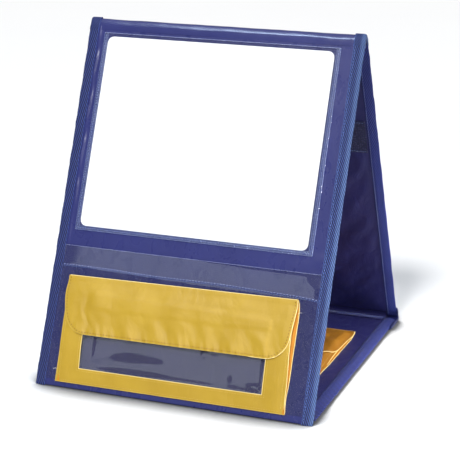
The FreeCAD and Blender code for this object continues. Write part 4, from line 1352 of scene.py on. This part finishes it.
build_pouch("front", FMAP, 119.5, 64.8, H_FRONT, "front", "front_flap", (pt(FMAP, 1.2, 5.0), pt(FMAP, 1.2, 7.4)), 201, (2.0, .6), "front_cover_skin", (-110.6, 103.2, 60.0, 102.2), (M_YELLOW, M_YSHADE),
            [(-98, 78, 3.0, 14, .22), (-52, 90, 24, 11, .75), (-20, 88, 14, 7, .3), (44, 62, 9, 5, .45), (34, 69, 5, 5, .32), (70, 92, 6, 8, .30), (93, 99, 8, 7, .35)], 1.0, 1.0, .8)
build_pouch("base", BMAP, 148.0, 88.0, H_BASE, "base", "base_flap", (pt(BMAP, 1.2, 5.0), pt(BMAP, 1.2, 7.4)), 301, (.3, .3), "base_cover_skin", (-110.6, 103.2, 82.0, 128.0), (M_BASE_POUCH_SHADED, M_YSHADE),
            [(-60, 108, 18, 10, 1.3), (30, 100, 14, 9, 1.0), (84, 116, 10, 8, .9)], .6, .25, 3.0)

# loose thread ends
def curl(pts, r=.22):
    P = np.array(pts, float)
    t = np.linspace(0, len(P) - 1, 40)
    f = [interp(np.column_stack([np.arange(len(P)), P[:, i]])) for i in range(3)]
    Q = np.stack([g(t) for g in f], -1)
    return tube(Q, r * (1 - .5 * t / t[-1]), 6)


v1, f1 = curl(FR(np.array([(130.6, 301.6, 5.3), (131.8, 301.0, 6.2), (133.4, 300.2, 6.6), (134.6, 300.5, 5.9)])))
v2, f2 = curl(FR(np.array([(-138.2, 396.0, 5.0), (-139.4, 395.6, 5.6), (-141.0, 396.4, 5.8), (-142.3, 395.9, 5.1)])))
V, F, L, E = join_parts([(v1, f1, v1, np.zeros(len(v1))), (v2, f2, v2, np.zeros(len(v2)))])
put(make("front_thread_ends", V, F, M_THREAD_W, L, E), "front", ())

# ---------------------------------------------------------------- loop band on the inside of the back panel
lb = waves(401, 40, 6)
v, f, l, e = slab(lines(-148.9, 148.9, 3.0, (.4, 1.0)), lines(112, 156, 2.2, (.4, 1.0)), lambda x, s: -.26 + 0 * x, lambda x, s: -.98 - .07 * lb(x, s), BK, r=.5)
put(make("back_loop_pile", v, f, M_LOOP, l, e, 50), "back", "back_loop_band")
parts = []
NB = (0, -CS, -SN)
for s in (114.2, 153.8):
    t = np.linspace(-147, 147, 300)
    parts.append(stitch_run(BK(np.stack([t, np.full_like(t, s), np.full_like(t, -.98)], -1)), NB, 3.1, 2.2, .5, .34, .08, int(s)))
V, F, L, E = join_parts(parts)
put(make("back_loop_stitches", V, F, M_THREAD_B, L, E), "back", ())

# ---------------------------------------------------------------- clear pocket rows on the back
for i in range(5):
    s0 = 24.0 + 76.0 * i
    s1 = s0 + 62.0
    pr = waves(420 + i, 80, 6)

    def rw(x, s, s0=s0, s1=s1, pr=pr):
        k = sstep((s1 - 1.5 - s) / 7.0)
        return 4.15 + k * (.95 + .10 * pr(x, s) * sstep((150 - np.abs(x)) / 10))
    v, f, l, e = slab(lines(-150.2, 150.2, 4.5), lines(s0, s1, 4.0, (.4, 1.0, 2.0)), lambda x, s: rw(x, s) + .13, lambda x, s: rw(x, s) - .13, BK)
    put(make(f"back_pocket_film_{i + 1}", v, f, M_STRIP, l, e, 50), "back", f"back_pocket_row_{i + 1}")
    t = np.linspace(-149, 149, 150)
    v1, f1 = tube(BK(np.stack([t, np.full_like(t, s0 + .1), rw(t, np.full_like(t, s0)) + .05], -1)), .3, 8)
    put(make(f"back_pocket_lip_{i + 1}", v1, f1, M_LIP, v1, np.zeros(len(v1))), "back", ())
    t = np.linspace(-148, 148, 300)
    V, F, L, E = stitch_run(BK(np.stack([t, np.full_like(t, s1 - 1.2), np.full_like(t, 4.30)], -1)), (0, CS, SN), 3.0, 2.0, .45, .3, .05, 30 + i)
    put(make(f"back_pocket_stitches_{i + 1}", V, F, M_THREAD_P, L, E), "back", ())

# ---------------------------------------------------------------- closing tab between the front foot and the base
ct = waves(451, 60, 6)
v, f, l, e = slab(lines(-120, 120, 3.0, (.4, 1)), lines(-161.0, -83.2, 3.0, (.4, 1)), lambda x, s: 7.1 + .08 * ct(x, s) + 0 * x, lambda x, s: 6.45 + .05 * ct(x, s) + 0 * x, BS, r=.4)
o = put(make("closing_tab_sheet", v, f, M_LINING, l, e, 50), "closing_tab", "closing_tab")
v, f, l, e = slab(lines(-117, 117, 2.5), lines(-129.5, -88.5, 2.0), lambda x, s: 6.36 + 0 * x, lambda x, s: 5.72 + 0 * x, BS, r=.4)
put(make("closing_hook_pile", v, f, M_HOOK, l, e, 50), "closing_tab", "closing_hook")
v, f, l, e = slab(lines(-118, 118, 2.5), lines(-129.8, -88.2, 2.0), lambda x, s: 5.25 + 0 * x, lambda x, s: 4.62 + 0 * x, BS, r=.4)
put(make("base_closing_loop_pile", v, f, M_LOOP, l, e, 50), "base", "base_closing_loop")

# ---------------------------------------------------------------- floor, light and camera
def floor():
    me = bpy.data.meshes.new("floor")
    a = 14.0
    me.from_pydata([(-a, -a, -.0006), (a, -a, -.0006), (a, a, -.0006), (-a, a, -.0006)], [], [(0, 1, 2, 3)])
    q = Mat("floor_pale")
    tc = q.n("TexCoord").outputs["Object"]
    nz = q.noise(tc, 3.0, 2.0)
    c = q.mix(nz, rgb(.865, .865, .865), rgb(.88, .88, .875))
    # painted contact shadow: the floor's colour darkens by ambient occlusion near the object
    ao = q.n("AmbientOcclusion", {"Distance": .062}).outputs["AO"]
    c = q.mix(q.map(ao, .63, .955, 0, 1, True), rgb(.12, .12, .125), c)
    me.materials.append(q.surface(q.principled(Base_Color=c, Roughness=.85, Specular_IOR_Level=.2)))
    o = bpy.data.objects.new("floor", me)
    bpy.context.scene.collection.objects.link(o)


floor()
world = bpy.data.worlds.new("studio")
bpy.context.scene.world = world
world.use_nodes = True
wt = world.node_tree
WORLD = .55
wbg = wt.nodes["Background"]
wbg.inputs[0].default_value = (1, 1, 1, 1)
# even white studio with one dark wall, front left
wtc = wt.nodes.new("ShaderNodeTexCoord")
wdot = wt.nodes.new("ShaderNodeVectorMath")
wdot.operation = "DOT_PRODUCT"
wdot.inputs[1].default_value = (-.324, -.803, .500)
wmr = wt.nodes.new("ShaderNodeMapRange")
wmr.interpolation_type = "SMOOTHSTEP"
for k, v in ((1, .74), (2, .90), (3, WORLD), (4, .05)):
    wmr.inputs[k].default_value = v
wt.links.new(wtc.outputs["Generated"], wdot.inputs[0])
wt.links.new(wdot.outputs["Value"], wmr.inputs[0])
# a little brighter on the right-hand side
wsx = wt.nodes.new("ShaderNodeSeparateXYZ")
wma = wt.nodes.new("ShaderNodeMath")
wma.operation = "MULTIPLY_ADD"
wma.inputs[1].default_value, wma.inputs[2].default_value = .40, 1.0
wmu = wt.nodes.new("ShaderNodeMath")
wmu.operation = "MULTIPLY"
wt.links.new(wtc.outputs["Generated"], wsx.inputs[0])
wt.links.new(wsx.outputs[0], wma.inputs[0])
wt.links.new(wma.outputs[0], wmu.inputs[0])
wt.links.new(wmr.outputs[0], wmu.inputs[1])
wt.links.new(wmu.outputs[0], wbg.inputs[1])


def sun(name, az, el, strength, angle, col=(1, 1, 1)):
    d = bpy.data.lights.new(name, "SUN")
    d.energy, d.angle, d.color = strength, math.radians(angle), col
    o = bpy.data.objects.new(name, d)
    a, e = math.radians(az), math.radians(el)
    back = Vector((math.sin(a) * math.cos(e), -math.cos(a) * math.cos(e), math.sin(e)))
    o.rotation_mode = "QUATERNION"
    o.rotation_quaternion = back.to_track_quat("Z", "Y")
    bpy.context.scene.collection.objects.link(o)
    return o


def softbox(name, az, el, dist, w, h, radiance, at=(0, -.1, .15), col=(1, 1, 1)):
    """rectangle of even light, seen in reflections"""
    d = bpy.data.lights.new(name, "AREA")
    d.shape, d.size, d.size_y = "RECTANGLE", w, h
    d.energy = radiance * math.pi * w * h
    d.color = col
    o = bpy.data.objects.new(name, d)
    a, e = math.radians(az), math.radians(el)
    back = Vector((math.sin(a) * math.cos(e), -math.cos(a) * math.cos(e), math.sin(e)))
    o.location = Vector(at) + back * dist
    o.rotation_mode = "QUATERNION"
    o.rotation_quaternion = back.to_track_quat("Z", "Y")
    bpy.context.scene.collection.objects.link(o)
    return o


def spot(name, pos, aim, power, cone, soft, radius):
    d = bpy.data.lights.new(name, "SPOT")
    d.energy, d.spot_size, d.spot_blend, d.shadow_soft_size = power, math.radians(cone), soft, radius
    o = bpy.data.objects.new(name, d)
    o.location = pos
    o.rotation_mode = "QUATERNION"
    o.rotation_quaternion = (Vector(pos) - Vector(aim)).to_track_quat("Z", "Y")
    bpy.context.scene.collection.objects.link(o)
    return o


sun("key", 0, 44.5, 2.75, 9)
softbox("reflection_card", -22.03, 13.45, 8.0, 1.606, 1.442, .92, (0, -.130, .090), (.90, 1.0, 1.10))
softbox("overhead", -22, 62, 2.4, 1.05, .34, 13.0, (0, 0, .37), (.80, 1.0, 1.28))
softbox("side_card", 84, 34, 2.2, .6, .8, 4.5, (.1, 0, .15))
spot("tunnel_fill", (1.0, -.01, .34), (.10, .01, .02), 62, 28, .5, .12)

cam = bpy.data.cameras.new("camera")
cam.sensor_width, cam.lens = 36.0, 120.149
cam.clip_start, cam.clip_end = .05, 60
co = bpy.data.objects.new("camera", cam)
az, el, roll = math.radians(21.1027), math.radians(16.9716), math.radians(-.072)
back = Vector((math.sin(az) * math.cos(el), -math.cos(az) * math.cos(el), math.sin(el)))
r = (-back).cross(Vector((0, 0, 1))).normalized()
u = r.cross(-back)
r2 = math.cos(roll) * r + math.sin(roll) * u
u2 = -math.sin(roll) * r + math.cos(roll) * u
m = Matrix((r2, u2, back)).transposed().to_4x4()
m.translation = Vector((.0052788, 0, .1535196)) + back * 1.75394
co.matrix_world = m
bpy.context.scene.collection.objects.link(co)
bpy.context.scene.camera = co
bpy.context.scene.view_settings.view_transform = "Standard"
bpy.context.scene.view_settings.look = "None"
